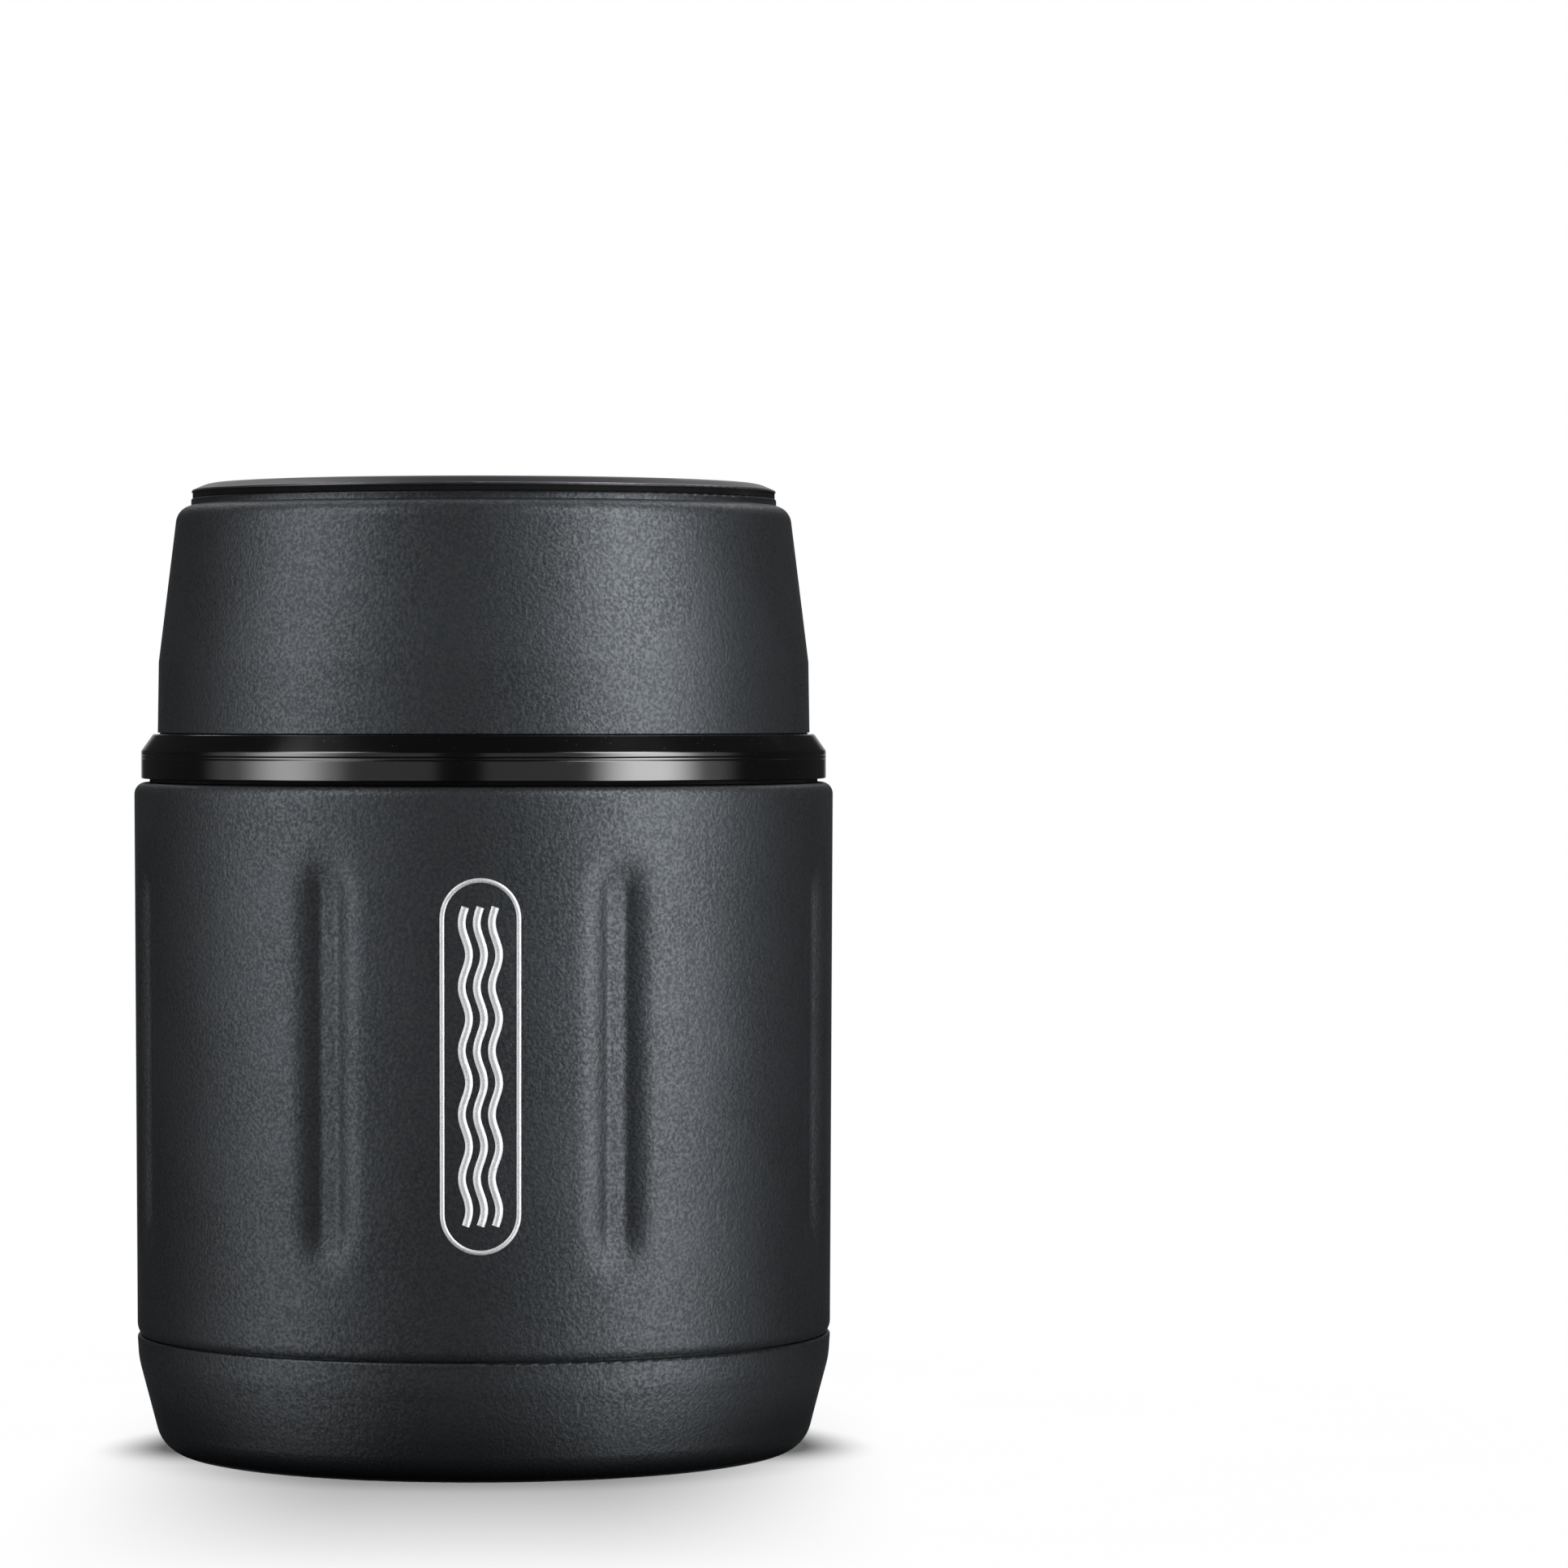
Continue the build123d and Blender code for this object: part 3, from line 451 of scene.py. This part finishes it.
class Recipe(Nodes):
    """Geometry tree with named inputs and a material, which grow() runs."""

    kinds = {int: "NodeSocketInt", float: "NodeSocketFloat"}

    def __init__(self, name, **sizes):
        super().__init__(bpy.data.node_groups.new(name, "GeometryNodeTree"))
        self.add_socket("geometry", "NodeSocketGeometry", "OUTPUT")
        self.add_socket("geometry", "NodeSocketGeometry")
        self.add_socket("material", "NodeSocketMaterial")
        for size, kind in sizes.items():
            self.add_socket(size, self.kinds[kind])
        entry = self.tree.nodes.new("NodeGroupInput")
        self.given = SimpleNamespace(**{out.name: Value(self, out) for out in entry.outputs if out.name})

    def add_socket(self, name, kind, way="INPUT"):
        self.tree.interface.new_socket(name, in_out=way, socket_type=kind)

    def position(self):
        return self.add("GeometryNodeInputPosition")

    def place(self, geometry, position):
        return self.add("GeometryNodeSetPosition", inputs={0: geometry, "Position": position})

    def lift(self, geometry, height):
        offset = self.vector(0.0, 0.0, height)
        return self.add("GeometryNodeSetPosition", inputs={0: geometry, "Offset": offset})

    def circle(self, radius, segments):
        return self.add("GeometryNodeCurvePrimitiveCircle", inputs={"Resolution": segments, "Radius": radius})

    def rectangle(self, width, height):
        return self.add("GeometryNodeCurvePrimitiveQuadrilateral", inputs={"Width": width, "Height": height})

    def sweep(self, path, section, caps=True):
        return self.add("GeometryNodeCurveToMesh", inputs={0: path, 1: section, "Fill Caps": caps})

    def smooth(self, geometry, limit=radians(40)):
        """Smooth shading that breaks at edges sharper than limit."""
        kind = "GeometryNodeSetShadeSmooth"
        whole = self.add(kind, {"domain": "FACE"}, {0: geometry, "Shade Smooth": True})
        sharp = self.add("GeometryNodeInputMeshEdgeAngle") > limit
        return self.add(kind, {"domain": "EDGE"}, {0: whole, 1: sharp, "Shade Smooth": False})

    def finish(self, geometry):
        """Realise what the tree made, give it the material and send it out."""
        real = self.add("GeometryNodeRealizeInstances", inputs={0: geometry})
        painted = self.add("GeometryNodeSetMaterial", inputs={0: real, "Material": self.given.material})
        self.add("NodeGroupOutput", inputs={0: painted})


def add_object(name, data):
    added = bpy.data.objects.new(name, data)
    bpy.context.collection.objects.link(added)
    return added


def wire(name, paths, closed=False):
    """Mesh object of one or more lines of points."""
    points, edges = [], []
    for path in paths:
        first = len(points)
        points += path
        last = len(points) - 1
        edges += [(i, i + 1) for i in range(first, last)]
        if closed:
            edges.append((last, first))
    mesh = bpy.data.meshes.new(name)
    mesh.from_pydata(points, edges, [])
    return add_object(name, mesh)


def grow(name, base, recipe, **inputs):
    """Run a recipe on base and keep the result as a plain mesh object of that name."""
    modifier = base.modifiers.new(recipe.tree.name, "NODES")
    modifier.node_group = recipe.tree
    for item in recipe.tree.interface.items_tree:
        if item.in_out == "INPUT" and item.name in inputs:
            modifier[item.identifier] = inputs[item.name]
    bpy.context.view_layer.update()
    evaluated = base.evaluated_get(bpy.context.evaluated_depsgraph_get())
    mesh = bpy.data.meshes.new_from_object(evaluated)
    base.modifiers.remove(modifier)
    bpy.data.objects.remove(base)
    mesh.name = name
    return face_outwards(add_object(name, mesh))


def face_outwards(piece):
    """Turn a closed mesh's faces outwards as one, judged by its volume."""
    shape = bmesh.new()
    shape.from_mesh(piece.data)
    if shape.calc_volume(signed=True) < 0:
        bmesh.ops.reverse_faces(shape, faces=shape.faces)
    shape.to_mesh(piece.data)
    shape.free()
    return piece


# ---- Outline of a turned wall ----

ARC_STEP = radians(9)


def rounded_corner(back_corner, corner, ahead_corner, radius):
    """Points of one corner of an outline, rounded by its radius."""
    if radius == 0:
        return [corner]
    back = (back_corner - corner).normalized()
    ahead = (ahead_corner - corner).normalized()
    half = back.angle(ahead) / 2
    centre = corner + (back + ahead).normalized() * (radius / sin(half))
    start = corner + back * (radius / tan(half)) - centre
    sweep = pi - 2 * half
    sign = 1 if back.cross(ahead) < 0 else -1
    turns = max(3, round(sweep / ARC_STEP))
    return [centre + Matrix.Rotation(sign * sweep * k / turns, 2) @ start for k in range(turns + 1)]


def rounded_outline(corners, step):
    """Closed outline through corners of radius, height and rounding, with no gap longer than step(z)."""
    places = [Vector((radius, height)) for radius, height, _ in corners]
    outline = []
    for i, (_, _, rounding) in enumerate(corners):
        outline += rounded_corner(places[i - 1], places[i], places[(i + 1) % len(places)], rounding)
    filled = []
    for here, ahead in zip(outline, outline[1:] + outline[:1]):
        longest = step((here.y + ahead.y) / 2)
        parts = max(1, ceil((ahead - here).length / longest))
        filled += [here.lerp(ahead, k / parts) for k in range(parts)]
    return filled


# ---- Body shell, with its pressed flutes ----

shell_wall = 0.6 * MM
body_taper = 0.4 * MM
shoulder_round = 1.7 * MM
neck_radius = 41.5 * MM
neck_round = 1.0 * MM
neck_inner_round = 1.6 * MM
seam_radius = body_radius - body_taper
seam_round = 0.12 * MM
bare_neck_radius = 46 * MM
bare_neck_drop = 0.1 * MM
# How far below the shoulder the painted shade in the gap under the collar begins.
gap_shade_drop = 0.35 * MM

seam_tuck = 0.45 * MM
seam_tuck_height = 0.9 * MM
seam_tuck_round = 2.5 * MM

flute_count = 8
front_gaps = 3  # gaps between flutes that have the front pitch; the others have the back pitch
front_pitch = radians(48.0)
back_pitch = (FULL_TURN - front_gaps * front_pitch) / (flute_count - front_gaps)
flute_straight = 49.0 * MM
flute_reach = 6.0 * MM  # from the flute's middle line to where it meets the round body
flute_slope_width = 4.55 * MM
flute_depth = 1.3 * MM
flute_end_pinch = 1.5  # how many times shorter the ends are than half a circle
flute_centre_height = 57.8 * MM

columns_per_flute = 40
fine_row = 0.45 * MM
coarse_row = 2.6 * MM
fine_row_reach = 1.5 * flute_reach


def flute_recipe():
    """Revolve the outline held by the object's own points, and press the flutes into it."""
    recipe = Recipe(
        "pressed_flutes",
        columns=int,
        rows=int,
        flutes=int,
        front_pitch=float,
        back_pitch=float,
        body_radius=float,
        straight=float,
        reach=float,
        slope_width=float,
        depth=float,
        end_pinch=float,
        centre_height=float,
    )
    given = recipe.given
    crowding = 0.75  # how much the columns crowd towards the middle of each flute
    bottom_blend = 0.3 * MM  # rounds the slope into the flute's flat bottom
    weld = 0.02 * MM

    def bearing(sector):
        """Angle from the front of a place counted in flutes."""
        step_back = (given.front_pitch - given.back_pitch) * (front_gaps / 2)
        return (sector * given.front_pitch).math("MINIMUM", sector * given.back_pitch + step_back)

    counts = {"Vertices X": given.columns + 1, "Vertices Y": given.rows + 1}
    sheet = recipe.add("GeometryNodeMeshGrid", inputs=counts, output="Mesh")
    across, along, _ = recipe.axes(recipe.position())
    row = ((along + 0.5) * given.rows).math("ROUND").math("MODULO", given.rows)
    outline_point = recipe.add(
        "GeometryNodeSampleIndex",
        {"data_type": "FLOAT_VECTOR"},
        {"Geometry": given.geometry, 1: recipe.position(), "Index": row},
    )
    radius, _, height = recipe.axes(outline_point)

    sector = across.math("ABSOLUTE") * given.flutes
    warped = sector + (sector * FULL_TURN).sin() * (crowding / FULL_TURN)
    turn = bearing(warped) * across.math("SIGN")

    # Distance from the flute's straight middle line, on the body's surface.
    from_middle = (bearing(warped) - bearing(sector.math("FLOOR") + 0.5)) * given.body_radius
    past_end = ((height - given.centre_height).math("ABSOLUTE") - given.straight * 0.5).math("MAXIMUM", 0.0)
    distance = from_middle.length_with(past_end * given.end_pinch)
    slope = (given.reach - distance).math("MAXIMUM", 0.0) / given.slope_width
    press = (slope * slope * given.depth).math("SMOOTH_MIN", given.depth, bottom_blend)
    pressed = radius - press
    shaped = recipe.place(sheet, recipe.vector(pressed * turn.sin(), pressed * turn.cos() * -1.0, height))
    joined = recipe.add("GeometryNodeMergeByDistance", inputs={0: shaped, "Distance": weld})
    recipe.finish(recipe.smooth(joined))
    return recipe


def shell_outline():
    """Section of the body shell, from the seam up to the end of its neck and back down inside."""
    foot, lip = shell_low.z, shell_high.z
    neck_inner = neck_radius - shell_wall
    under_shoulder = shoulder_height - shell_wall
    corners = [
        (seam_radius - seam_tuck, foot, seam_round),
        (seam_radius, foot + seam_tuck_height, seam_tuck_round),
        (body_radius, shoulder_height, shoulder_round),
        (neck_radius, shoulder_height, neck_round),
        (neck_radius, lip, 0),
        (neck_inner, lip, 0),
        (neck_inner, under_shoulder, neck_inner_round),
        (body_radius - shell_wall, under_shoulder, shoulder_round - shell_wall),
        (seam_radius - shell_wall, foot + seam_tuck_height, seam_tuck_round - shell_wall),
        (seam_radius - seam_tuck - shell_wall, foot, 0),
    ]
    half_length = flute_straight / 2 + flute_reach / flute_end_pinch

    def step(z):
        """Finer rows near the ends of the flutes, where the press curves."""
        from_end = half_length - abs(z - flute_centre_height)
        return fine_row if 0 < from_end < fine_row_reach else coarse_row

    return rounded_outline(corners, step)


def body_shell():
    """Fluted outer shell."""
    outline = shell_outline()
    coat = hammered_coat(
        "hammered_coat_body",
        body_painted_shade,
        bare=bare_neck(bare_neck_radius, shoulder_height - bare_neck_drop),
        gap_shade_height=shoulder_height - gap_shade_drop,
    )
    return grow(
        "body_shell",
        wire("body_outline", [[(point.x, 0, point.y) for point in outline]]),
        flute_recipe(),
        columns=columns_per_flute * flute_count,
        rows=len(outline),
        flutes=flute_count,
        front_pitch=front_pitch,
        back_pitch=back_pitch,
        body_radius=body_radius,
        straight=flute_straight,
        reach=flute_reach,
        slope_width=flute_slope_width,
        depth=flute_depth,
        end_pinch=flute_end_pinch,
        centre_height=flute_centre_height,
        material=coat,
    )


shell = body_shell()
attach(shell, "jar")
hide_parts("outer_shell")


# ---- Badge: a narrow pill outline round three rising wavy lines ----

badge_centre_height = 57.6 * MM
badge_turn = radians(1.42)
badge_width = 10.5 * MM
badge_height = 50.8 * MM
badge_line = 0.62 * MM
ink_thickness = 0.06 * MM
wave_height = 43.5 * MM
wave_line = 1.05 * MM
wave_spacing = 2.05 * MM
wave_swing = 0.50 * MM
wave_count = 5


def pill_path(width, height, steps=24):
    """Closed path of a pill, as flat points."""
    radius = width / 2
    reach = height / 2 - radius
    angles = [pi * k / steps for k in range(steps + 1)]
    top = [(radius * cos(a), reach + radius * sin(a), 0) for a in angles]
    side = [(-radius, reach - 2 * reach * k / steps, 0) for k in range(1, steps)]
    half = top + side
    return half + [(-x, -y, 0) for x, y, _ in half]


def wave_path(offset, steps=96):
    """Upright wavy line, as flat points."""
    points = []
    for k in range(steps + 1):
        share = k / steps
        swing = wave_swing * sin(FULL_TURN * wave_count * share)
        points.append((offset + swing, wave_height * (share - 0.5), 0))
    return points


def marking_recipe():
    """Give flat lines a width and thickness, and wrap them round the body."""
    recipe = Recipe(
        "wrapped_marking",
        line_width=float,
        thickness=float,
        surface_radius=float,
        taper=float,
        turn=float,
        centre_height=float,
    )
    given = recipe.given
    lines = recipe.add("GeometryNodeMeshToCurve", inputs={0: given.geometry})
    level = recipe.add("GeometryNodeSetCurveNormal", {"mode": "Z_UP"}, {0: lines})
    ribbon = recipe.sweep(level, recipe.rectangle(given.line_width, given.thickness))
    across, up, out = recipe.axes(recipe.position())
    turn = across / given.surface_radius + given.turn
    radius = given.surface_radius + given.taper * up + out
    place = recipe.vector(radius * turn.sin(), radius * turn.cos() * -1.0, up + given.centre_height)
    recipe.finish(recipe.place(ribbon, place))
    return recipe


def marking(name, paths, line, recipe, ink, closed=False):
    """Printed lines on the front of the body, a hair proud of the coat."""
    taper = body_taper / (shoulder_height - shell_low.z)
    return grow(
        name,
        wire(name + "_lines", paths, closed),
        recipe,
        line_width=line,
        thickness=ink_thickness * 2,
        surface_radius=seam_radius + taper * (badge_centre_height - shell_low.z),
        taper=taper,
        turn=badge_turn,
        centre_height=badge_centre_height,
        material=ink,
    )


ink = printed_silver("printed_silver")
wrap = marking_recipe()
pill = pill_path(badge_width, badge_height)
waves = [wave_path(wave_spacing * k) for k in (-1, 0, 1)]
outline_mark = marking("badge_outline", [pill], badge_line, wrap, ink, closed=True)
wave_mark = marking("badge_waves", waves, wave_line, wrap, ink)
for mark in (outline_mark, wave_mark):
    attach(mark, "jar")


# ---- Black rings: a seal in the slot under the cap's disc that also stands as its painted shadow line, and one in the gap under the cap's mouth that stands as painted shade ----

disc_slot_height = 0.85 * MM
disc_slot_play = 0.04 * MM
disc_seal_width = 0.6 * MM
disc_seal_inset = 0.45 * MM  # from the disc's edge to the middle of the seal

gap_ring_width = 0.9 * MM
gap_ring_height = 0.15 * MM
gap_ring_inset = 0.75 * MM  # from the cap's edge to the middle of the ring
gap_middle_drop = 0.1 * MM


def ring_recipe():
    """Band of rectangular section round the jar's axis."""
    recipe = Recipe("black_ring", radius=float, width=float, height=float, middle=float)
    given = recipe.given
    segments = 192
    section = recipe.rectangle(given.width, given.height)
    band = recipe.sweep(recipe.circle(given.radius, segments), section, caps=False)
    recipe.finish(recipe.smooth(recipe.lift(band, given.middle)))
    return recipe


black_ring = ring_recipe()
# Black seal in the slot under the disc, which is also the painted shadow line under the disc's edge.
slot_seal_and_shadow = grow(
    "slot_seal_and_shadow",
    wire("disc_seal_start", [[(0, 0, 0)]]),
    black_ring,
    radius=disc_radius - disc_seal_inset,
    width=disc_seal_width,
    height=disc_slot_height - disc_slot_play,
    middle=cap_high.z + disc_slot_height / 2,
    material=satin_plastic("black_disc_seal", (0.002, 0.002, 0.002), roughness=0.9, shine=0.1),
)
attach(slot_seal_and_shadow, "cap")

# Painted shade: a black ring put in the gap under the cap's mouth, standing for the shadow in that gap.
gap_shadow_ring = grow(
    "mouth_gap_shadow_ring",
    wire("mouth_gap_start", [[(0, 0, 0)]]),
    black_ring,
    radius=cap_high.x - gap_ring_inset,
    width=gap_ring_width,
    height=gap_ring_height,
    middle=cap_low.z - gap_middle_drop,
    material=satin_plastic("black_gap_ring", (0.003, 0.003, 0.003), roughness=0.85, shine=0.1),
)
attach(gap_shadow_ring, "jar")


# ---- Return spring of the vent button, riding on the stopper; the real one shortens as the button goes down ----

spring_turns = 4.0
spring_wire = 0.7 * MM
spring_length = spring_high.z - spring_low.z


def coil_recipe():
    """Wire wound round the jar's axis, from the bottom of its box up."""
    recipe = Recipe("wound_coil", turns=float, radius=float, length=float, wire=float, bottom=float)
    given = recipe.given
    steps_per_turn, wire_sides = 48, 12
    path = recipe.add(
        "GeometryNodeCurveSpiral",
        inputs={
            "Resolution": steps_per_turn,
            "Rotations": given.turns,
            "Start Radius": given.radius,
            "End Radius": given.radius,
            "Height": given.length - given.wire,
        },
    )
    wire_radius = given.wire * 0.5
    coil = recipe.sweep(path, recipe.circle(wire_radius, wire_sides))
    recipe.finish(recipe.smooth(recipe.lift(coil, given.bottom + wire_radius)))
    return recipe


spring = grow(
    "return_spring",
    wire("return_spring_start", [[(0, 0, 0)]]),
    coil_recipe(),
    turns=spring_turns,
    radius=spring_high.x - spring_wire / 2,
    length=spring_length,
    wire=spring_wire,
    bottom=spring_low.z,
    material=spun_steel("spring_wire_steel", tint=(0.60, 0.60, 0.60), roughness=0.25, ring=0.3 * MM),
)
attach(spring, "stopper")
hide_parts("vent_spring")
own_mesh(spring)


# ---- Finishes of the carried-over pieces ----

collar_line_height = collar_bottom + 3.1 * MM
foot_ring_inner = 40.6 * MM
foot_wear_height = 0.12 * MM

finishes = {
    "base_cup": hammered_coat(
        "hammered_coat_base", body_painted_shade, bare=bare_underside(foot_ring_inner, foot_wear_height)
    ),
    "cap_shell": hammered_coat("hammered_coat_cap", cap_painted_shade),
    "base_cover": spun_steel("spun_steel_cover"),
    "inner_vessel": spun_steel("spun_steel_vessel", roughness=0.22, ring=0.16 * MM),
    "vacuum_plug": spun_steel("brazed_plug", tint=(0.50, 0.46, 0.38), roughness=0.4),
    "vent_stem": spun_steel("drawn_stem", roughness=0.3, ring=0.05 * MM),
    "vent_clip": spun_steel("spring_clip_steel", tint=(0.42, 0.42, 0.43), roughness=0.35),
    "neck_collar": polished_black("polished_black_collar", collar_line_height),
    "collar_gasket": satin_plastic("black_rubber_gasket", (0.004, 0.004, 0.004), roughness=0.85, shine=0.1),
    "cap_top_disc": satin_plastic("slate_disc", (0.014, 0.013, 0.017), roughness=0.30, grain=0.2 * MM),
    "cap_liner": satin_plastic("black_liner", (0.012, 0.012, 0.013), roughness=0.33),
    "stopper_cover": satin_plastic("graphite_cover", (0.050, 0.053, 0.058), roughness=0.45, depth=0.02 * MM),
    "stopper_body": satin_plastic("black_stopper", (0.014, 0.014, 0.015), roughness=0.38),
    "vent_button": satin_plastic("black_button", (0.010, 0.010, 0.011), roughness=0.36),
    "vent_guide": satin_plastic("grey_guide", (0.18, 0.18, 0.18), roughness=0.45),
    "stopper_gasket": silicone("grey_silicone_gasket"),
    "cover_seal": silicone("grey_silicone_cover_seal"),
    "button_ring": silicone("grey_silicone_ring"),
    "vent_seal": silicone("grey_silicone_seal"),
    "cap_foam": closed_cell_foam("white_cap_foam"),
    "stopper_foam": closed_cell_foam("white_stopper_foam"),
    "radiation_foil": crinkled_foil("copper_foil"),
    "getter": pressed_powder("getter_powder"),
}
for node_name, material in finishes.items():
    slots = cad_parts[node_name].data.materials
    slots.clear()
    slots.append(material)


# ---- Camera ----

image_side = 1932
jar_axis_x = 596.75  # pixel column of the jar's axis
eye_level_y = 870.0  # pixel row of the horizon
foot_line_y = 1786.0  # pixel row of the foot, on the plane through the axis
pixels_per_metre = 8582.0  # on the plane through the jar's axis
camera_distance = 0.98
camera_azimuth = radians(2.05)
sensor_width_mm = 36.0
farthest_seen = 50.0

focal_pixels = pixels_per_metre * camera_distance
eye_height = (foot_line_y - eye_level_y) / pixels_per_metre


def add_camera():
    """Camera turned and tipped so that the jar's axis and the horizon fall where they belong."""
    data = bpy.data.cameras.new("camera")
    data.sensor_width = sensor_width_mm
    data.lens = focal_pixels / image_side * sensor_width_mm
    data.clip_end = farthest_seen
    camera = add_object("camera", data)
    camera.location = (
        camera_distance * sin(camera_azimuth),
        -camera_distance * cos(camera_azimuth),
        eye_height,
    )
    side_turn = atan((image_side / 2 - jar_axis_x) / focal_pixels)
    dip = atan((image_side / 2 - eye_level_y) / focal_pixels)
    camera.rotation_euler = (pi / 2 - dip, 0.0, camera_azimuth - side_turn)
    bpy.context.scene.camera = camera


# ---- Floor ----

floor_half_side = 6.0
shade_ring_radii = (43.5 * MM, 53 * MM)
shade_ring_drop = 0.1 * MM
shade_ring_segments = 64


def add_floor():
    """White floor that neither shows in the jar's gloss nor lights or shades it."""
    side = floor_half_side
    mesh = bpy.data.meshes.new("floor")
    corners = [(-side, -side, 0), (side, -side, 0), (side, side, 0), (-side, side, 0)]
    mesh.from_pydata(corners, [], [(0, 1, 2, 3)])
    mesh.materials.append(floor_paper("floor_paper"))
    floor = add_object("floor", mesh)
    floor.visible_diffuse = False
    floor.visible_glossy = False
    floor.visible_shadow = False


def add_contact_shade():
    """Unseen ring round the foot that keeps low light off the jar's bottom edge."""
    count = shade_ring_segments
    angles = [FULL_TURN * k / count for k in range(count)]
    points = [(r * cos(a), r * sin(a), -shade_ring_drop) for r in shade_ring_radii for a in angles]
    pairs = [(k, (k + 1) % count) for k in range(count)]
    mesh = bpy.data.meshes.new("contact_shade")
    mesh.from_pydata(points, [], [(k, k + count, j + count, j) for k, j in pairs])
    mesh.materials.append(satin_plastic("black_card", (0.01, 0.01, 0.01)))
    shade = add_object("contact_shade", mesh)
    shade.visible_camera = False
    shade.visible_diffuse = False


# ---- Lights: two tall ones draw the upright highlights, and weaker ones fill in ----

light_target = Vector((0, 0, 80 * MM))
room_brightness = 0.03  # what the jar sees; the camera sees it white
left_main, right_main = -66, 54.5  # azimuths of the two tall lights, in degrees

# Each light's name, azimuth and elevation in degrees, distance, width and height, watts,
# core and rise, as add_softbox takes them.
light_plan = [
    ("left_softbox", left_main, 3, 0.70, (0.62, 1.50), 11.2, (0.05, 0.70), 0.65),
    ("right_softbox", right_main, 3, 0.70, (0.60, 1.50), 18.4, (0.15, 0.70), 0.55),
    ("front_left_fill", -33, 2, 1.60, (1.10, 2.20), 2.2, (0.85, 0.5), 0.0),
    ("front_right_fill", 22, 2, 1.60, (1.42, 2.20), 2.9, (0.85, 0.5), 0.0),
    ("left_side_fill", -92, 3, 1.00, (0.55, 1.50), 1.2, (0.0, 0.6), 0.0),
    ("right_side_fill", 79, 3, 1.00, (0.55, 1.50), 1.6, (0.0, 0.6), 0.0),
    ("left_upper_strip", left_main, 48, 0.80, (0.62, 0.14), 2.0, (0.05, 0.50), 0.0),
    ("right_upper_strip", right_main, 48, 0.80, (0.60, 0.14), 3.0, (0.15, 0.50), 0.0),
    ("top_softbox", 180, 76, 0.80, (0.50, 0.24), 1.1, (0.3, 0.5), 0.0),
    ("top_left_softbox", -137, 60, 0.80, (0.30, 0.24), 1.3, (0.3, 0.5), 0.0),
    ("top_right_softbox", 130, 61, 0.80, (0.30, 0.24), 2.1, (0.3, 0.5), 0.0),
    ("back_fill", 180, 3, 1.20, (0.80, 1.60), 2.6, (0.3, 0.5), 0.0),
    ("back_left_softbox", -152, 42, 0.80, (0.40, 0.45), 1.5, (0.1, 0.2), 0.0),
    ("back_right_softbox", 148, 42, 0.80, (0.40, 0.45), 1.6, (0.1, 0.2), 0.0),
]


def add_softbox(name, azimuth, elevation, distance, size, power, core, rise):
    """Area light aimed at the jar, from an azimuth counted from the camera's side, in degrees.

    It fades out from core, a share of its half width and half height, to its edges,
    and its strength goes up by the share rise from its middle to its top.
    """
    data = bpy.data.lights.new(name, "AREA")
    data.shape = "RECTANGLE"
    data.size, data.size_y = size
    data.energy = power
    data.use_nodes = True
    nodes = Nodes(data.node_tree)
    spot = nodes.axes(nodes.add("ShaderNodeNewGeometry", output="Parametric"))
    off_centre = [(axis - 0.5).math("ABSOLUTE") * 2.0 for axis in spot[:2]]
    across, up = (nodes.remap(off, 1.0, edge) for off, edge in zip(off_centre, core))
    strength = across * up * ((spot[1] - 0.5) * (2.0 * rise) + 1.0)
    nodes.plug(strength, data.node_tree.nodes["Emission"].inputs["Strength"])
    bearing = camera_azimuth - pi / 2 + radians(azimuth)
    tilt = radians(elevation)
    away = Vector((cos(bearing) * cos(tilt), sin(bearing) * cos(tilt), sin(tilt)))
    light = add_object(name, data)
    light.location = light_target + away * distance
    light.rotation_euler = (-away).to_track_quat("-Z", "Y").to_euler()


def add_room():
    """White to the camera, and almost dark to the jar."""
    world = bpy.data.worlds.new("studio")
    bpy.context.scene.world = world
    world.use_nodes = True
    nodes = Nodes(world.node_tree)
    background = world.node_tree.nodes["Background"]
    seen = nodes.add("ShaderNodeLightPath", output="Is Camera Ray")
    nodes.plug((1, 1, 1, 1), background.inputs["Color"])
    nodes.plug(seen * (1.0 - room_brightness) + room_brightness, background.inputs["Strength"])


add_camera()
add_floor()
add_contact_shade()
add_room()
for light in light_plan:
    add_softbox(*light)
bpy.context.scene.view_settings.view_transform = "Standard"
